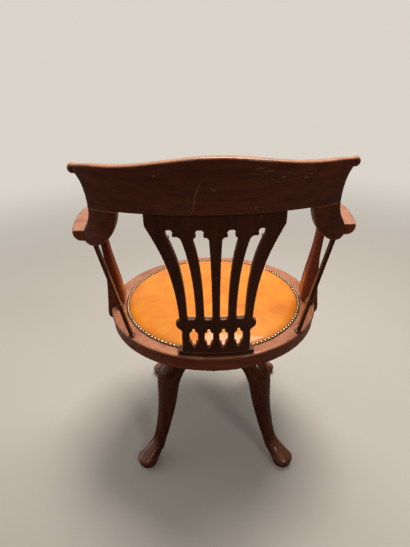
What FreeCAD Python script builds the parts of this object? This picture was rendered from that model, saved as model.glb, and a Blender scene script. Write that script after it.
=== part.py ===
import FreeCAD, Part
import math
import os

import Sketcher
from FreeCAD import Placement, Rotation, Vector

# Bankers swivel chair: a round leather seat on a wooden ring, a pierced splat and a shaped crest rail,
# short arms, and four cabriole legs round a turned hub with a screw spindle and a hand wheel.
# Millimetres. +Z is up, +Y is the back of the chair, +X is the sitter's left.
# Every place is measured from the swivel axis, and axis_y moves the whole chair so that the origin
# lies on the floor below the middle of its outline.

doc = FreeCAD.newDocument("bankers_swivel_chair")
sheet = doc.addObject("Spreadsheet::Sheet", "Sizes")

# The driving dimensions: name, value or formula, what it measures.
SIZES = [
    ("seat_height", 421, "floor to the top of the seat ring"),
    ("ring_thickness", 38, "seat ring, top to bottom"),
    ("ring_half_width", 270, "swivel axis to the side of the seat ring"),
    ("ring_half_depth", 256, "swivel axis to the front and back of the seat ring"),
    ("ring_opening", 200, "radius of the hole in the seat ring"),
    ("ring_nose", 12, "height of the rounded nosing at the top of the ring"),
    ("ring_step", 3, "how far the band under the nosing is set in"),
    ("rebate_radius", 221, "radius of the rebate that takes the webbing"),
    ("rebate_depth", 4, "depth of that rebate"),
    ("dowel_radius", 5, "dowels in the seat ring"),
    ("dowel_length", 50, "dowels in the seat ring"),
    ("web_width", 54, "width of one strap of webbing"),
    ("web_thickness", 1.5, "thickness of one strap of webbing"),
    ("web_pitch", 92, "spacing of the straps"),
    ("web_count", 4, "straps each way"),
    ("canvas_thickness", 1, "hessian over the webbing"),
    ("seat_crown", 24, "rise of the stuffing at the middle of the seat"),
    ("leather_thickness", 1.8, "seat cover"),
    ("leather_margin", 3.5, "leather outside the line of nails"),
    ("nail_ring", 227.5, "radius of the line of nails"),
    ("nail_count", 132, "nails round the seat"),
    ("nail_head", 4.7, "radius of a nail's head"),
    ("nail_rise", 2.6, "height of a nail's head"),
    ("nail_shank", 0.9, "radius of a nail's shank"),
    ("nail_length", 12, "length of a nail's shank"),
    ("hole_gap", 0.05, "clearance all round a driven pin"),
    ("crest_overhang", 14, "back of the crest rail at its lower edge beyond the back of the ring"),
    ("crest_y", "=ring_half_depth + crest_overhang", "swivel axis to the back of the crest rail"),
    ("crest_bottom", 753, "floor to the lower edge of the crest rail"),
    ("crest_height", 105, "crest rail, lower edge to the top of its arch"),
    ("crest_arch", 18, "fall of the top edge from the middle to the dip"),
    ("crest_dip", 200, "middle of the rail to the dip"),
    ("crest_radius", 543, "bend of the crest rail in plan"),
    ("crest_rake", 17, "how far the rail leans back over its height"),
    ("board", 25, "thickness of the crest rail and its ears"),
    ("end_bend", 8, "how sharply the ends of the rail turn forward"),
    ("waist", 239.5, "middle of the rail to its narrowest point"),
    ("tip_x", 257, "middle of the rail to the centre of its rolled tip"),
    ("tip_z", 828, "floor to the centre of the rolled tip"),
    ("tip_radius", 10, "rolled tip"),
    ("ear_inner", 181, "middle of the chair to the inner edge of an ear"),
    ("ear_bottom", 674, "floor to the lowest point of an ear"),
    ("ear_outer", 262.5, "middle of the chair to the outermost point of an ear"),
    ("ear_dowel_radius", 4, "dowels between the rail and its ears"),
    ("ear_dowel_length", 44, "dowels between the rail and its ears"),
    ("arm_top", 702, "floor to the top of an arm at its back end"),
    ("arm_thickness", 23, "arm, top to underside"),
    ("arm_width", 55, "arm at the middle of its length"),
    ("arm_overhang", 25.5, "outer edge of an arm beyond the side of the ring"),
    ("arm_reach", "=ring_half_width + arm_overhang", "swivel axis to the outer edge of an arm"),
    ("arm_end", 19.5, "outer edge of an arm at its back end beyond its ear"),
    ("arm_back", 190, "swivel axis to the back end of an arm"),
    ("arm_front", 34, "swivel axis forward to the nose of an arm"),
    ("arm_dowel_radius", 4, "dowels between an arm and its ear"),
    ("arm_dowel_length", 40, "dowels between an arm and its ear"),
    ("arm_dowel_bite", 8, "how far those dowels reach into the ear"),
    ("post_y", 14, "swivel axis to the middle of an arm post"),
    ("post_width", 44.5, "post from side to side above the seat"),
    ("post_lap", 6.5, "how far a post stands out from the side of the ring"),
    ("post_outer", "=ring_half_width + post_lap", "swivel axis to the outer edge of a post"),
    ("post_inner", "=post_outer - post_width", "swivel axis to the inner edge of a post"),
    ("post_depth", 40, "post from front to back above the seat"),
    ("post_tenon", 8, "radius of the tenon on a post"),
    ("tenon_length", 14, "length of that tenon"),
    ("screw_radius", 2.5, "wood screws"),
    ("screw_length", 34, "wood screws through the foot of a post"),
    ("screw_head", 4.5, "radius of a screw's head"),
    ("screw_spacing", 18, "spacing of a pair of screws"),
    ("upright_x", 196, "swivel axis to the foot of a rear upright, sideways"),
    ("upright_y", 165, "swivel axis to the foot of a rear upright, backwards"),
    ("upright_top_x", 240, "swivel axis to the top of a rear upright, sideways"),
    ("upright_top_y", 197.5, "swivel axis to the top of a rear upright, backwards"),
    ("upright_side", 8.8, "side of a rear upright"),
    ("upright_collar", 14, "side of its collar and plinth"),
    ("collar_height", 7, "height of one step of the collar"),
    ("collar_place", 94, "foot of the upright to the middle of its collar"),
    ("upright_tenon", 3, "radius of its tenons"),
    ("splat_thickness", 12, "pierced splat"),
    ("splat_half_width", 132, "middle of the splat to its edge under the rail"),
    ("splat_waist", 73, "middle of the splat to its edge at the foot"),
    ("splat_lug", 84, "middle of the splat to the point of its lug"),
    ("splat_tenon", 10, "splat let into the rail and the shoe"),
    ("shoe_half_width", 83, "middle of the shoe to its end"),
    ("shoe_height", 13, "height of the shoe"),
    ("shoe_inset", 6.5, "back of the ring to the back of the shoe"),
    ("shoe_wall", 2, "shoe behind the splat"),
    ("shoe_back", "=ring_half_depth - shoe_inset", "swivel axis to the back of the shoe"),
    ("splat_foot_y", "=shoe_back - shoe_wall", "swivel axis to the back of the splat at the seat"),
    ("shoe_radius", 387, "bend of the shoe and of the foot of the splat"),
    ("shoe_screw_length", 46, "screws up through the ring and the shoe into the splat"),
    ("foot_ring", 262, "swivel axis to the middle of a foot"),
    ("foot_radius", 27.5, "pad foot"),
    ("disc_radius", 24.5, "turned disc under a foot"),
    ("disc_height", 15, "turned disc under a foot"),
    ("base_turn", -1.4, "degrees that the base stands turned under the seat"),
    ("hub_top", 318, "floor to the top of the wooden hub"),
    ("hub_bottom", 228, "floor to the bottom of the wooden hub"),
    ("hub_radius", 56, "wooden hub"),
    ("knee_width", 62.5, "leg at its knee"),
    ("knee_thickness", 61, "leg at its knee, across the bend"),
    ("ankle_width", 36.5, "leg at its ankle"),
    ("leg_dowel_radius", 6, "dowels between a leg and the hub"),
    ("leg_dowel_length", 60, "dowels between a leg and the hub"),
    ("leg_dowel_drop", 26, "top of the hub to the upper dowel"),
    ("leg_dowel_spacing", 26, "upper dowel to lower dowel"),
    ("spindle_radius", 12.5, "screw spindle over its thread"),
    ("thread_pitch", 8, "rise of the spindle for one turn of the wheel"),
    ("thread_depth", 1.6, "depth of the thread"),
    ("spindle_top", 400, "floor to the top of the spindle"),
    ("spindle_bottom", 172, "floor to the bottom of the spindle"),
    ("key_width", 5, "keyway along the spindle"),
    ("key_depth", 3, "keyway along the spindle"),
    ("running_gap", 0.08, "clearance of a turning or sliding fit, all round"),
    ("socket_radius", 21, "iron tube in the hub"),
    ("socket_length", 70, "iron tube and flange together"),
    ("flange_radius", 50, "flange of the iron socket"),
    ("flange_thickness", 8, "flange of the iron socket"),
    ("flange_bolt_ring", 40, "screws in that flange"),
    ("washer_radius", 26, "keyed washer under the hand wheel"),
    ("washer_thickness", 3, "keyed washer under the hand wheel"),
    ("face_gap", 0.3, "air between two faces that slide on each other"),
    ("wheel_radius", 70, "hand wheel"),
    ("wheel_height", 24, "boss of the hand wheel"),
    ("wheel_boss", 24, "radius of that boss"),
    ("wheel_rim", 8, "radius of the bar that the wheel's rim is made from"),
    ("wheel_spokes", 5, "spokes of the hand wheel"),
    ("spider_boss", 28, "radius of the boss of the iron spider"),
    ("spider_boss_height", 32, "height of that boss"),
    ("spider_arms", 4, "arms of the spider"),
    ("spider_reach", 240, "swivel axis to the end of a spider arm"),
    ("spider_width", 34, "width of a spider arm"),
    ("spider_plate", 8, "thickness of a spider arm"),
    ("spider_hole", 212, "swivel axis to the inner screw of an arm"),
    ("pin_radius", 3, "taper pin through the spider's boss"),
    ("stop_radius", 18, "stop washer at the foot of the spindle"),
    ("stop_thickness", 5, "that washer"),
    ("split_pin_radius", 2, "split pin under the stop washer"),
]

for row, (alias, value, words) in enumerate(SIZES, start=1):
    sheet.set("A%d" % row, alias)
    sheet.set("B%d" % row, str(value))
    sheet.set("C%d" % row, words)
    sheet.setAlias("B%d" % row, alias)
doc.recompute()


def size(alias):
    """Read one driving dimension."""
    return float(sheet.get(alias))


# The whole chair is shifted so that the floor below the middle of its outline is the origin.
AXIS_Y = "-(Sizes.crest_y + Sizes.crest_rake - Sizes.ring_half_depth) / 2"
axis_y = -(size("crest_y") + size("crest_rake") - size("ring_half_depth")) / 2
SIDES = (("left", 1), ("right", -1))
parts = {}


def keep(obj, label):
    """Name a finished sub-part and list it for writing."""
    obj.Label = label
    parts[label] = obj
    return obj


def place(obj, up):
    """Put an object on the swivel axis, a height above the floor."""
    obj.setExpression("Placement.Base.y", AXIS_Y)
    obj.setExpression("Placement.Base.z", up)
    return obj


def feature(label, shape):
    """Keep a shape that is worked out below, placed on the swivel axis."""
    obj = doc.addObject("Part::Feature", label)
    obj.Shape = shape
    obj.Placement = Placement(Vector(0, axis_y, 0), Rotation()).multiply(shape.Placement)
    return keep(obj, label)


# Part design helpers

def new_body(label):
    body = doc.addObject("PartDesign::Body", label)
    return body


def new_sketch(body, role="XY_Plane"):
    sketch = body.newObject("Sketcher::SketchObject", "Sketch")
    plane = [f for f in body.Origin.OriginFeatures if f.Role == role][0]
    sketch.AttachmentSupport = [(plane, "")]
    sketch.MapMode = "FlatFace"
    return sketch


def lift(sketch, distance):
    """Raise a sketch off its plane."""
    sketch.setExpression("AttachmentOffset.Base.z", distance)


def circle(sketch, radius, x="0", y="0"):
    """A circle whose radius and centre follow expressions."""
    number = sketch.addGeometry(Part.Circle(Vector(1, 1, 0), Vector(0, 0, 1), 10), False)
    ring = sketch.addConstraint(Sketcher.Constraint("Radius", number, 10))
    sketch.setExpression("Constraints[%d]" % ring, radius)
    for kind, where in (("DistanceX", x), ("DistanceY", y)):
        spot = sketch.addConstraint(Sketcher.Constraint(kind, -1, 1, number, 3, 1))
        sketch.setExpression("Constraints[%d]" % spot, where)


def outline(sketch, corners):
    """A closed run of straight lines whose corners follow pairs of expressions."""
    count = len(corners)
    turn = 2 * math.pi / count
    spots = [Vector(20 + 10 * math.cos(i * turn), 20 + 10 * math.sin(i * turn), 0) for i in range(count)]
    for i in range(count):
        sketch.addGeometry(Part.LineSegment(spots[i], spots[(i + 1) % count]), False)
    for i in range(count):
        sketch.addConstraint(Sketcher.Constraint("Coincident", i, 2, (i + 1) % count, 1))
    for i, (x, y) in enumerate(corners):
        for kind, where, start in (("DistanceX", x, spots[i].x), ("DistanceY", y, spots[i].y)):
            number = sketch.addConstraint(Sketcher.Constraint(kind, -1, 1, i, 1, start))
            sketch.setExpression("Constraints[%d]" % number, where)


def pad(body, sketch, length, midplane=False):
    part = body.newObject("PartDesign::Pad", "Pad")
    part.Profile = sketch
    part.setExpression("Length", length)
    part.Midplane = midplane
    return part


def revolve(body, corners):
    """Turn a profile, given as radius and height, about the body's own upright axis."""
    sketch = new_sketch(body, "XZ_Plane")
    outline(sketch, corners)
    part = body.newObject("PartDesign::Revolution", "Revolution")
    part.Profile = sketch
    part.ReferenceAxis = (sketch, ["V_Axis"])
    part.Angle = 360
    return part


def repeat(body, feature_to_repeat, count):
    """Repeat one feature round the body's upright axis."""
    axis = [f for f in body.Origin.OriginFeatures if f.Role == "Z_Axis"][0]
    pattern = body.newObject("PartDesign::PolarPattern", "PolarPattern")
    pattern.Originals = [feature_to_repeat]
    pattern.Axis = (axis, [""])
    pattern.Angle = 360
    pattern.setExpression("Occurrences", count)
    body.Tip = pattern
    return pattern


# Shape helpers

def box_between(low, high):
    return Part.makeBox(high[0] - low[0], high[1] - low[1], high[2] - low[2], Vector(*low))


def rod(radius, start, end):
    direction = end - start
    return Part.makeCylinder(radius, direction.Length, start, direction)


def mirrored(shape):
    """The right-hand twin of a left-hand shape."""
    return shape.mirror(Vector(0, 0, 0), Vector(1, 0, 0))


def on_side(shape, side):
    return shape if side > 0 else mirrored(shape)


def drilled(shape, tools):
    """Cut clearance shapes out of a piece and keep it one solid."""
    result = shape
    for tool in tools:
        result = result.cut(tool)
    solids = sorted(result.Solids, key=lambda solid: solid.Volume)
    return solids[-1]


def rounded_wire(low_a, high_a, low_b, high_b, radii, point):
    """A rectangle with rounded corners; point(a, b) puts it in space.

    radii are for the corners at (low a, low b), (high a, low b), (high a, high b), (low a, high b).
    """
    sums = [radii[i] + radii[(i + 1) % 4] for i in range(4)]
    sides = [high_a - low_a, high_b - low_b] * 2
    shrink = min([1.0] + [(side - 0.4) / total for side, total in zip(sides, sums)])
    r = [value * shrink for value in radii]
    corners = [(low_a, low_b, 1, 1), (high_a, low_b, -1, 1), (high_a, high_b, -1, -1), (low_a, high_b, 1, -1)]
    arcs = []
    for (a, b, da, db), radius in zip(corners, r):
        bend = radius * (1 - math.sqrt(0.5))
        ends = [(a, b + db * radius), (a + da * radius, b)]
        if da * db < 0:
            ends.reverse()
        arcs.append((ends[0], (a + da * bend, b + db * bend), ends[1]))
    edges = []
    for i in range(4):
        start, middle, end = [point(*spot) for spot in arcs[i]]
        edges.append(Part.Arc(start, middle, end).toShape())
        edges.append(Part.LineSegment(end, point(*arcs[(i + 1) % 4][0])).toShape())
    return Part.Wire(edges)


def loft(wires, straight=False):
    return Part.makeLoft(wires, True, straight)


def curve_through(points):
    curve = Part.BSplineCurve()
    curve.interpolate([Vector(*point) for point in points])
    return curve.toShape()


# The base: a turned hub, four cabriole legs and their discs

def leg_angle(index):
    return 45 + 90 * index + size("base_turn")


def leg_section(out, up, slope, thick, width):
    """One section square to the leg, which runs outward at 0 degrees and straight down at 90."""
    lean = math.radians(slope)
    radius = 0.46 * min(thick, width)
    return rounded_wire(-thick / 2, thick / 2, -width / 2, width / 2, [radius] * 4,
                        lambda a, b: Vector(out + a * math.sin(lean), b, up + a * math.cos(lean)))


def leg_blank():
    """One leg lying along +X: a knee that reaches back to the hub, a slim ankle and a pad foot."""
    knee = size("knee_width")
    thick = size("knee_thickness")
    ankle = size("ankle_width")
    floor = size("disc_height")
    fall = size("hub_top") - floor
    foot = size("foot_ring")
    pad_radius = size("foot_radius")
    # distance out as a share of the foot's, height as a share of the leg's, slope, thickness, width
    stations = [
        (0.18, 0.903, 0, 0.92 * thick, 0.74 * knee),
        (0.31, 0.903, 3, 0.92 * thick, 0.80 * knee),
        (0.42, 0.899, 12, 0.94 * thick, 0.88 * knee),
        (0.515, 0.884, 27, 0.98 * thick, 0.95 * knee),
        (0.585, 0.845, 47, thick, 0.99 * knee),
        (0.632, 0.787, 66, 0.97 * thick, knee),
        (0.657, 0.705, 80, 0.90 * thick, 0.91 * knee),
        (0.669, 0.615, 90, 0.85 * thick, 0.84 * knee),
        (0.686, 0.515, 90, 0.79 * thick, 0.775 * knee),
        (0.714, 0.41, 90, 0.72 * thick, 0.70 * knee),
        (0.748, 0.31, 90, 0.655 * thick, 0.64 * knee),
        (0.788, 0.21, 90, 0.61 * thick, ankle),
        (0.836, 0.13, 90, 0.63 * thick, ankle),
        (1 - 0.98 * pad_radius / foot, 0.075, 90, 1.93 * pad_radius, 1.12 * ankle),
        (1 - 0.35 * pad_radius / foot, 0.038, 90, 2.14 * pad_radius, 1.68 * pad_radius),
        (1 - 0.05 * pad_radius / foot, 0.012, 90, 2.05 * pad_radius, 1.98 * pad_radius),
        (1 - 0.01 * pad_radius / foot, 0.0, 90, 1.98 * pad_radius, 1.94 * pad_radius),
    ]
    return loft([leg_section(out * foot, floor + up * fall, slope, tall, wide)
                 for out, up, slope, tall, wide in stations])


def leg_dowel_places():
    high = size("hub_top") - size("leg_dowel_drop")
    return (high, high - size("leg_dowel_spacing"))


def leg_dowels(gap=0.0):
    """The two dowels of the leg that lies along +X."""
    middle = size("hub_radius")
    half = size("leg_dowel_length") / 2 + gap
    radius = size("leg_dowel_radius") + gap
    return [rod(radius, Vector(middle - half, 0, z), Vector(middle + half, 0, z)) for z in leg_dowel_places()]


def turned(shape, angle):
    copy = shape.copy()
    copy.rotate(Vector(0, 0, 0), Vector(0, 0, 1), angle)
    return copy


def build_legs():
    hub_face = Part.makeCylinder(size("hub_radius"), size("hub_top"))
    above = Part.makeCylinder(size("foot_ring"), 20, Vector(0, 0, size("hub_top")))
    leg = drilled(leg_blank(), [hub_face, above] + leg_dowels(size("hole_gap")))
    names = ("rear_left", "rear_right", "front_right", "front_left")
    for index, name in enumerate(names):
        feature("leg_" + name, turned(leg, leg_angle(index)))
    pins = [turned(pin, leg_angle(index)) for index in range(4) for pin in leg_dowels()]
    feature("leg_dowels", Part.makeCompound(pins))


def build_foot_discs():
    """A separate turned disc under each foot, slightly hollow at its edge."""
    names = ("rear_left", "rear_right", "front_right", "front_left")
    for index, name in enumerate(names):
        body = new_body("foot_disc_" + name)
        revolve(body, [
            ("0", "0"),
            ("Sizes.disc_radius - 2", "0"),
            ("Sizes.disc_radius", "Sizes.disc_height * 0.3"),
            ("Sizes.disc_radius", "Sizes.disc_height * 0.7"),
            ("Sizes.disc_radius - 2.5", "Sizes.disc_height"),
            ("0", "Sizes.disc_height"),
        ])
        angle = "%d + Sizes.base_turn" % (45 + 90 * index)
        body.setExpression("Placement.Base.x", "Sizes.foot_ring * cos(%s)" % angle)
        body.setExpression("Placement.Base.y", "%s + Sizes.foot_ring * sin(%s)" % (AXIS_Y, angle))
        keep(body, "foot_disc_" + name)


def build_hub():
    body = new_body("hub_blank")
    revolve(body, [
        ("Sizes.socket_radius", "0"),
        ("Sizes.hub_radius * 0.62", "0"),
        ("Sizes.hub_radius * 0.78", "10"),
        ("Sizes.hub_radius * 0.78", "16"),
        ("Sizes.hub_radius", "26"),
        ("Sizes.hub_radius", "Sizes.hub_top - Sizes.hub_bottom"),
        ("Sizes.socket_radius", "Sizes.hub_top - Sizes.hub_bottom"),
    ])
    place(body, "Sizes.hub_bottom")
    holes = doc.addObject("Part::Feature", "hub_holes")
    tools = [turned(pin, leg_angle(i)) for i in range(4) for pin in leg_dowels(size("hole_gap"))]
    tools += [screw for screw in flange_screws(size("hole_gap"))]
    holes.Shape = Part.makeCompound(tools)
    holes.Placement = Placement(Vector(0, axis_y, 0), Rotation())
    hub = doc.addObject("Part::Cut", "base_hub")
    hub.Base = body
    hub.Tool = holes
    keep(hub, "base_hub")


# The swivel: an iron socket in the hub, a keyed washer, the hand wheel and the screw spindle

def flange_screws(gap=0.0):
    """Four countersunk screws through the socket's flange into the hub."""
    top = size("hub_top") + size("flange_thickness")
    radius = size("screw_radius") + gap
    head = size("screw_head") + gap
    screws = []
    for index in range(4):
        angle = math.radians(leg_angle(index) + 45)
        x = size("flange_bolt_ring") * math.cos(angle)
        y = size("flange_bolt_ring") * math.sin(angle)
        shank = Part.makeCylinder(radius, size("screw_length"), Vector(x, y, top - size("screw_length")))
        cone = Part.makeCone(radius, head, 3, Vector(x, y, top - 3))
        screws.append(shank.fuse(cone))
    return screws


def build_socket():
    body = new_body("socket_blank")
    revolve(body, [
        ("Sizes.spindle_radius + Sizes.running_gap", "0"),
        ("Sizes.socket_radius", "0"),
        ("Sizes.socket_radius", "Sizes.socket_length - Sizes.flange_thickness"),
        ("Sizes.flange_radius", "Sizes.socket_length - Sizes.flange_thickness"),
        ("Sizes.flange_radius", "Sizes.socket_length"),
        ("Sizes.spindle_radius + Sizes.running_gap", "Sizes.socket_length"),
    ])
    place(body, "Sizes.hub_top + Sizes.flange_thickness - Sizes.socket_length")
    holes = doc.addObject("Part::Feature", "flange_holes")
    holes.Shape = Part.makeCompound(flange_screws(size("hole_gap")))
    holes.Placement = Placement(Vector(0, axis_y, 0), Rotation())
    socket = doc.addObject("Part::Cut", "base_socket")
    socket.Base = body
    socket.Tool = holes
    keep(socket, "base_socket")
    feature("socket_screws", Part.makeCompound(flange_screws()))


WASHER_UP = "Sizes.hub_top + Sizes.flange_thickness + Sizes.face_gap"
WHEEL_UP = WASHER_UP + " + Sizes.washer_thickness + Sizes.face_gap"


def build_washer():
    """A steel washer whose tongue slides in the spindle's keyway, so it swivels with the seat."""
    body = new_body("keyed_washer")
    sketch = new_sketch(body)
    circle(sketch, "Sizes.washer_radius")
    circle(sketch, "Sizes.spindle_radius + Sizes.running_gap")
    pad(body, sketch, "Sizes.washer_thickness")
    tongue = new_sketch(body)
    inner = "Sizes.spindle_radius - Sizes.key_depth + Sizes.running_gap"
    outer = "Sizes.spindle_radius + 3"
    half = "(Sizes.key_width / 2 - Sizes.running_gap)"
    outline(tongue, [(inner, "-" + half), (outer, "-" + half), (outer, half), (inner, half)])
    pad(body, tongue, "Sizes.washer_thickness")
    place(body, WASHER_UP)
    keep(body, "keyed_washer")


def build_wheel():
    """Cast-iron hand wheel: a boss that runs on the spindle, spokes and a round rim."""
    body = new_body("hand_wheel")
    bore = "Sizes.spindle_radius + Sizes.running_gap"
    revolve(body, [
        (bore, "0"),
        ("Sizes.wheel_boss - 2", "0"),
        ("Sizes.wheel_boss", "2"),
        ("Sizes.wheel_boss", "Sizes.wheel_height - 2"),
        ("Sizes.wheel_boss - 2", "Sizes.wheel_height"),
        (bore, "Sizes.wheel_height"),
    ])
    rim_sketch = new_sketch(body, "XZ_Plane")
    circle(rim_sketch, "Sizes.wheel_rim", "Sizes.wheel_radius - Sizes.wheel_rim", "Sizes.wheel_height / 2")
    rim = body.newObject("PartDesign::Revolution", "Rim")
    rim.Profile = rim_sketch
    rim.ReferenceAxis = (rim_sketch, ["V_Axis"])
    rim.Angle = 360
    doc.recompute()
    spoke_sketch = new_sketch(body)
    lift(spoke_sketch, "Sizes.wheel_height / 2 - Sizes.wheel_rim / 2")
    inner = "Sizes.wheel_boss - 3"
    outer = "Sizes.wheel_radius - Sizes.wheel_rim"
    outline(spoke_sketch, [(inner, "-7"), (outer, "-5"), (outer, "5"), (inner, "7")])
    spoke = pad(body, spoke_sketch, "Sizes.wheel_rim")
    repeat(body, spoke, "Sizes.wheel_spokes")
    place(body, WHEEL_UP)
    keep(body, "hand_wheel")


def spindle_shape():
    """Steel screw spindle: a cut thread, a keyway, a plain top and a plain foot."""
    radius = size("spindle_radius")
    depth = size("thread_depth")
    pitch = size("thread_pitch")
    bottom = size("spindle_bottom")
    top = size("spindle_top")
    thread_low = bottom + 16
    thread_high = top - size("spider_boss_height") - 2
    bar = Part.makeCylinder(radius, top - bottom, Vector(0, 0, bottom))
    turns = (thread_high - thread_low) / pitch
    path = Part.makeHelix(pitch, turns * pitch, radius)
    path.translate(Vector(0, 0, thread_low))
    half_outer = pitch * 0.27
    half_inner = pitch * 0.18
    cutter = Part.makePolygon([
        Vector(radius + 0.6, 0, thread_low - half_outer - 0.2),
        Vector(radius + 0.6, 0, thread_low + half_outer + 0.2),
        Vector(radius - depth, 0, thread_low + half_inner),
        Vector(radius - depth, 0, thread_low - half_inner),
        Vector(radius + 0.6, 0, thread_low - half_outer - 0.2),
    ])
    groove = Part.Wire(path).makePipeShell([cutter], True, True)
    key = box_between((radius - size("key_depth"), -size("key_width") / 2, bottom + 12),
                      (radius + 1, size("key_width") / 2, thread_high))
    shaft = drilled(bar, [groove, key])
    return drilled(shaft, [spider_pin(size("hole_gap")), split_pin(size("hole_gap"))])


def spider_base():
    """Height of the underside of the spider's boss."""
    return size("spindle_top") - size("spider_boss_height")


def spider_pin(gap=0.0):
    height = spider_base() + size("spider_boss_height") * 0.5
    reach = size("spider_boss") + 2
    return rod(size("pin_radius") + gap, Vector(0, -reach, height), Vector(0, reach, height))


def split_pin(gap=0.0):
    height = size("spindle_bottom") + 4
    reach = size("stop_radius") - 2
    return rod(size("split_pin_radius") + gap, Vector(-reach, 0, height), Vector(reach, 0, height))


def build_stop():
    """Washer and split pin that stop the spindle from leaving its socket."""
    body = new_body("stop_washer")
    sketch = new_sketch(body)
    circle(sketch, "Sizes.stop_radius")
    circle(sketch, "Sizes.spindle_radius + Sizes.hole_gap")
    pad(body, sketch, "Sizes.stop_thickness")
    place(body, "Sizes.spindle_bottom + 4 + Sizes.split_pin_radius")
    keep(body, "stop_washer")
    feature("stop_pin", split_pin())


def spider_screw_places():
    inner = size("spider_hole")
    return (inner, size("spider_reach") - (inner - size("ring_opening")))


def spider_screws(gap=0.0):
    low = size("seat_height") - size("ring_thickness") - size("spider_plate")
    radius = size("screw_radius") + gap
    screws = []
    for index in range(int(size("spider_arms"))):
        angle = 360.0 * index / size("spider_arms")
        for reach in spider_screw_places():
            shank = Part.makeCylinder(radius, 30, Vector(reach, 0, low))
            head = Part.makeCylinder(size("screw_head") + 1, 3, Vector(reach, 0, low - 3))
            screws.append(turned(shank if gap else shank.fuse(head), angle))
    return screws


def build_spider():
    """Cast-iron spider: a boss on the spindle and arms screwed under the seat ring."""
    body = new_body("spider_blank")
    boss = new_sketch(body)
    circle(boss, "Sizes.spider_boss")
    pad(body, boss, "Sizes.spider_boss_height")
    doc.recompute()
    arm = new_sketch(body)
    ring_bottom = "(Sizes.seat_height - Sizes.ring_thickness)"
    boss_bottom = "(Sizes.spindle_top - Sizes.spider_boss_height)"
    lift(arm, "%s - Sizes.spider_plate - %s" % (ring_bottom, boss_bottom))
    half = "Sizes.spider_width / 2"
    outline(arm, [
        ("Sizes.spider_boss - 8", "-" + half), ("Sizes.ring_opening", "-%s * 0.8" % half),
        ("Sizes.spider_reach", "-" + half), ("Sizes.spider_reach", half),
        ("Sizes.ring_opening", "%s * 0.8" % half), ("Sizes.spider_boss - 8", half),
    ])
    arm_pad = pad(body, arm, "Sizes.spider_plate")
    pattern = repeat(body, arm_pad, "Sizes.spider_arms")
    doc.recompute()
    rib = new_sketch(body, "XZ_Plane")
    floor = "%s - %s" % (ring_bottom, boss_bottom)
    outline(rib, [
        ("Sizes.spider_boss - 8", floor), ("Sizes.ring_opening - 12", floor),
        ("Sizes.ring_opening - 20", "%s + 3" % floor),
        ("Sizes.spider_boss - 2", "Sizes.spider_boss_height - 2"),
        ("Sizes.spider_boss - 8", "Sizes.spider_boss_height - 2"),
    ])
    rib_pad = pad(body, rib, "8 mm", midplane=True)
    repeat(body, rib_pad, "Sizes.spider_arms")
    place(body, "Sizes.spindle_top - Sizes.spider_boss_height")
    holes = doc.addObject("Part::Feature", "spider_holes")
    bore = Part.makeCylinder(size("spindle_radius") + size("hole_gap"), size("spindle_top"))
    tools = [bore, spider_pin(size("hole_gap"))] + spider_screws(size("hole_gap"))
    holes.Shape = Part.makeCompound(tools)
    holes.Placement = Placement(Vector(0, axis_y, 0), Rotation())
    spider = doc.addObject("Part::Cut", "seat_spider")
    spider.Base = body
    spider.Tool = holes
    keep(spider, "seat_spider")
    feature("spindle", spindle_shape())
    feature("spider_pin", spider_pin())
    feature("spider_screws", Part.makeCompound(spider_screws()))


# The seat ring: four curved lengths of wood, dowelled end to end

def ellipse_disc(inset, low, high):
    half_width = size("ring_half_width") - inset
    half_depth = size("ring_half_depth") - inset
    wire = Part.Wire(Part.Ellipse(Vector(0, 0, low), half_width, half_depth).toShape())
    return Part.Face(wire).extrude(Vector(0, 0, high - low))


def ring_blank():
    top = size("seat_height")
    bottom = top - size("ring_thickness")
    nose = size("ring_nose")
    cap = ellipse_disc(0, top - nose, top)
    outer_edges = [edge for edge in cap.Edges if edge.isClosed()]
    cap = cap.makeFillet(nose * 0.47, outer_edges)
    band = ellipse_disc(size("ring_step"), bottom, top - nose)
    low_edges = [edge for edge in band.Edges if edge.isClosed() and edge.BoundBox.ZMax < bottom + 1]
    band = band.makeFillet(size("ring_step"), low_edges)
    hole = Part.makeCylinder(size("ring_opening"), 2 * size("ring_thickness"), Vector(0, 0, bottom - 10))
    rebate = Part.makeCylinder(size("rebate_radius"), 20, Vector(0, 0, top - size("rebate_depth")))
    return cap.fuse(band).cut([hole, rebate])


def ring_dowels(gap=0.0):
    """Two dowels across each joint between lengths of the ring."""
    height = size("seat_height") - size("ring_thickness") / 2 - 3
    middle = (size("ring_opening") + size("ring_half_depth")) / 2 + 4
    half = size("dowel_length") / 2 + gap
    pins = []
    for index in range(4):
        for step in (-9, 9):
            pin = rod(size("dowel_radius") + gap, Vector(middle + step, -half, height),
                      Vector(middle + step, half, height))
            pins.append(turned(pin, 45 + 90 * index))
    return pins


def wedge(angle):
    """A quarter of the plan, centred on an angle."""
    reach = 2 * size("ring_half_width")
    sheet_of_wood = Part.makePolygon([Vector(0, 0, 0), Vector(reach, -reach, 0), Vector(reach, reach, 0),
                                      Vector(0, 0, 0)])
    quarter = Part.Face(sheet_of_wood).extrude(Vector(0, 0, 2 * size("seat_height")))
    return turned(quarter, angle)


def nail_shanks(gap=0.0):
    top = size("seat_height") + size("leather_thickness")
    shanks = []
    for index in range(int(size("nail_count"))):
        angle = 2 * math.pi * index / size("nail_count")
        x = size("nail_ring") * math.cos(angle)
        y = size("nail_ring") * math.sin(angle)
        length = size("nail_length") + gap
        shanks.append(Part.makeCylinder(size("nail_shank") + gap, length + 0.3, Vector(x, y, top - length)))
    return shanks


def build_ring(fittings):
    blank = ring_blank()
    tools = ring_dowels(size("hole_gap")) + nail_shanks(size("hole_gap")) + fittings
    for name, angle in (("left", 0), ("back", 90), ("right", 180), ("front", 270)):
        length = blank.common(wedge(angle))
        near = [tool for tool in tools if tool.BoundBox.intersect(length.BoundBox)]
        feature("seat_ring_" + name, drilled(length, near))
    feature("ring_dowels", Part.makeCompound(ring_dowels()))


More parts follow.
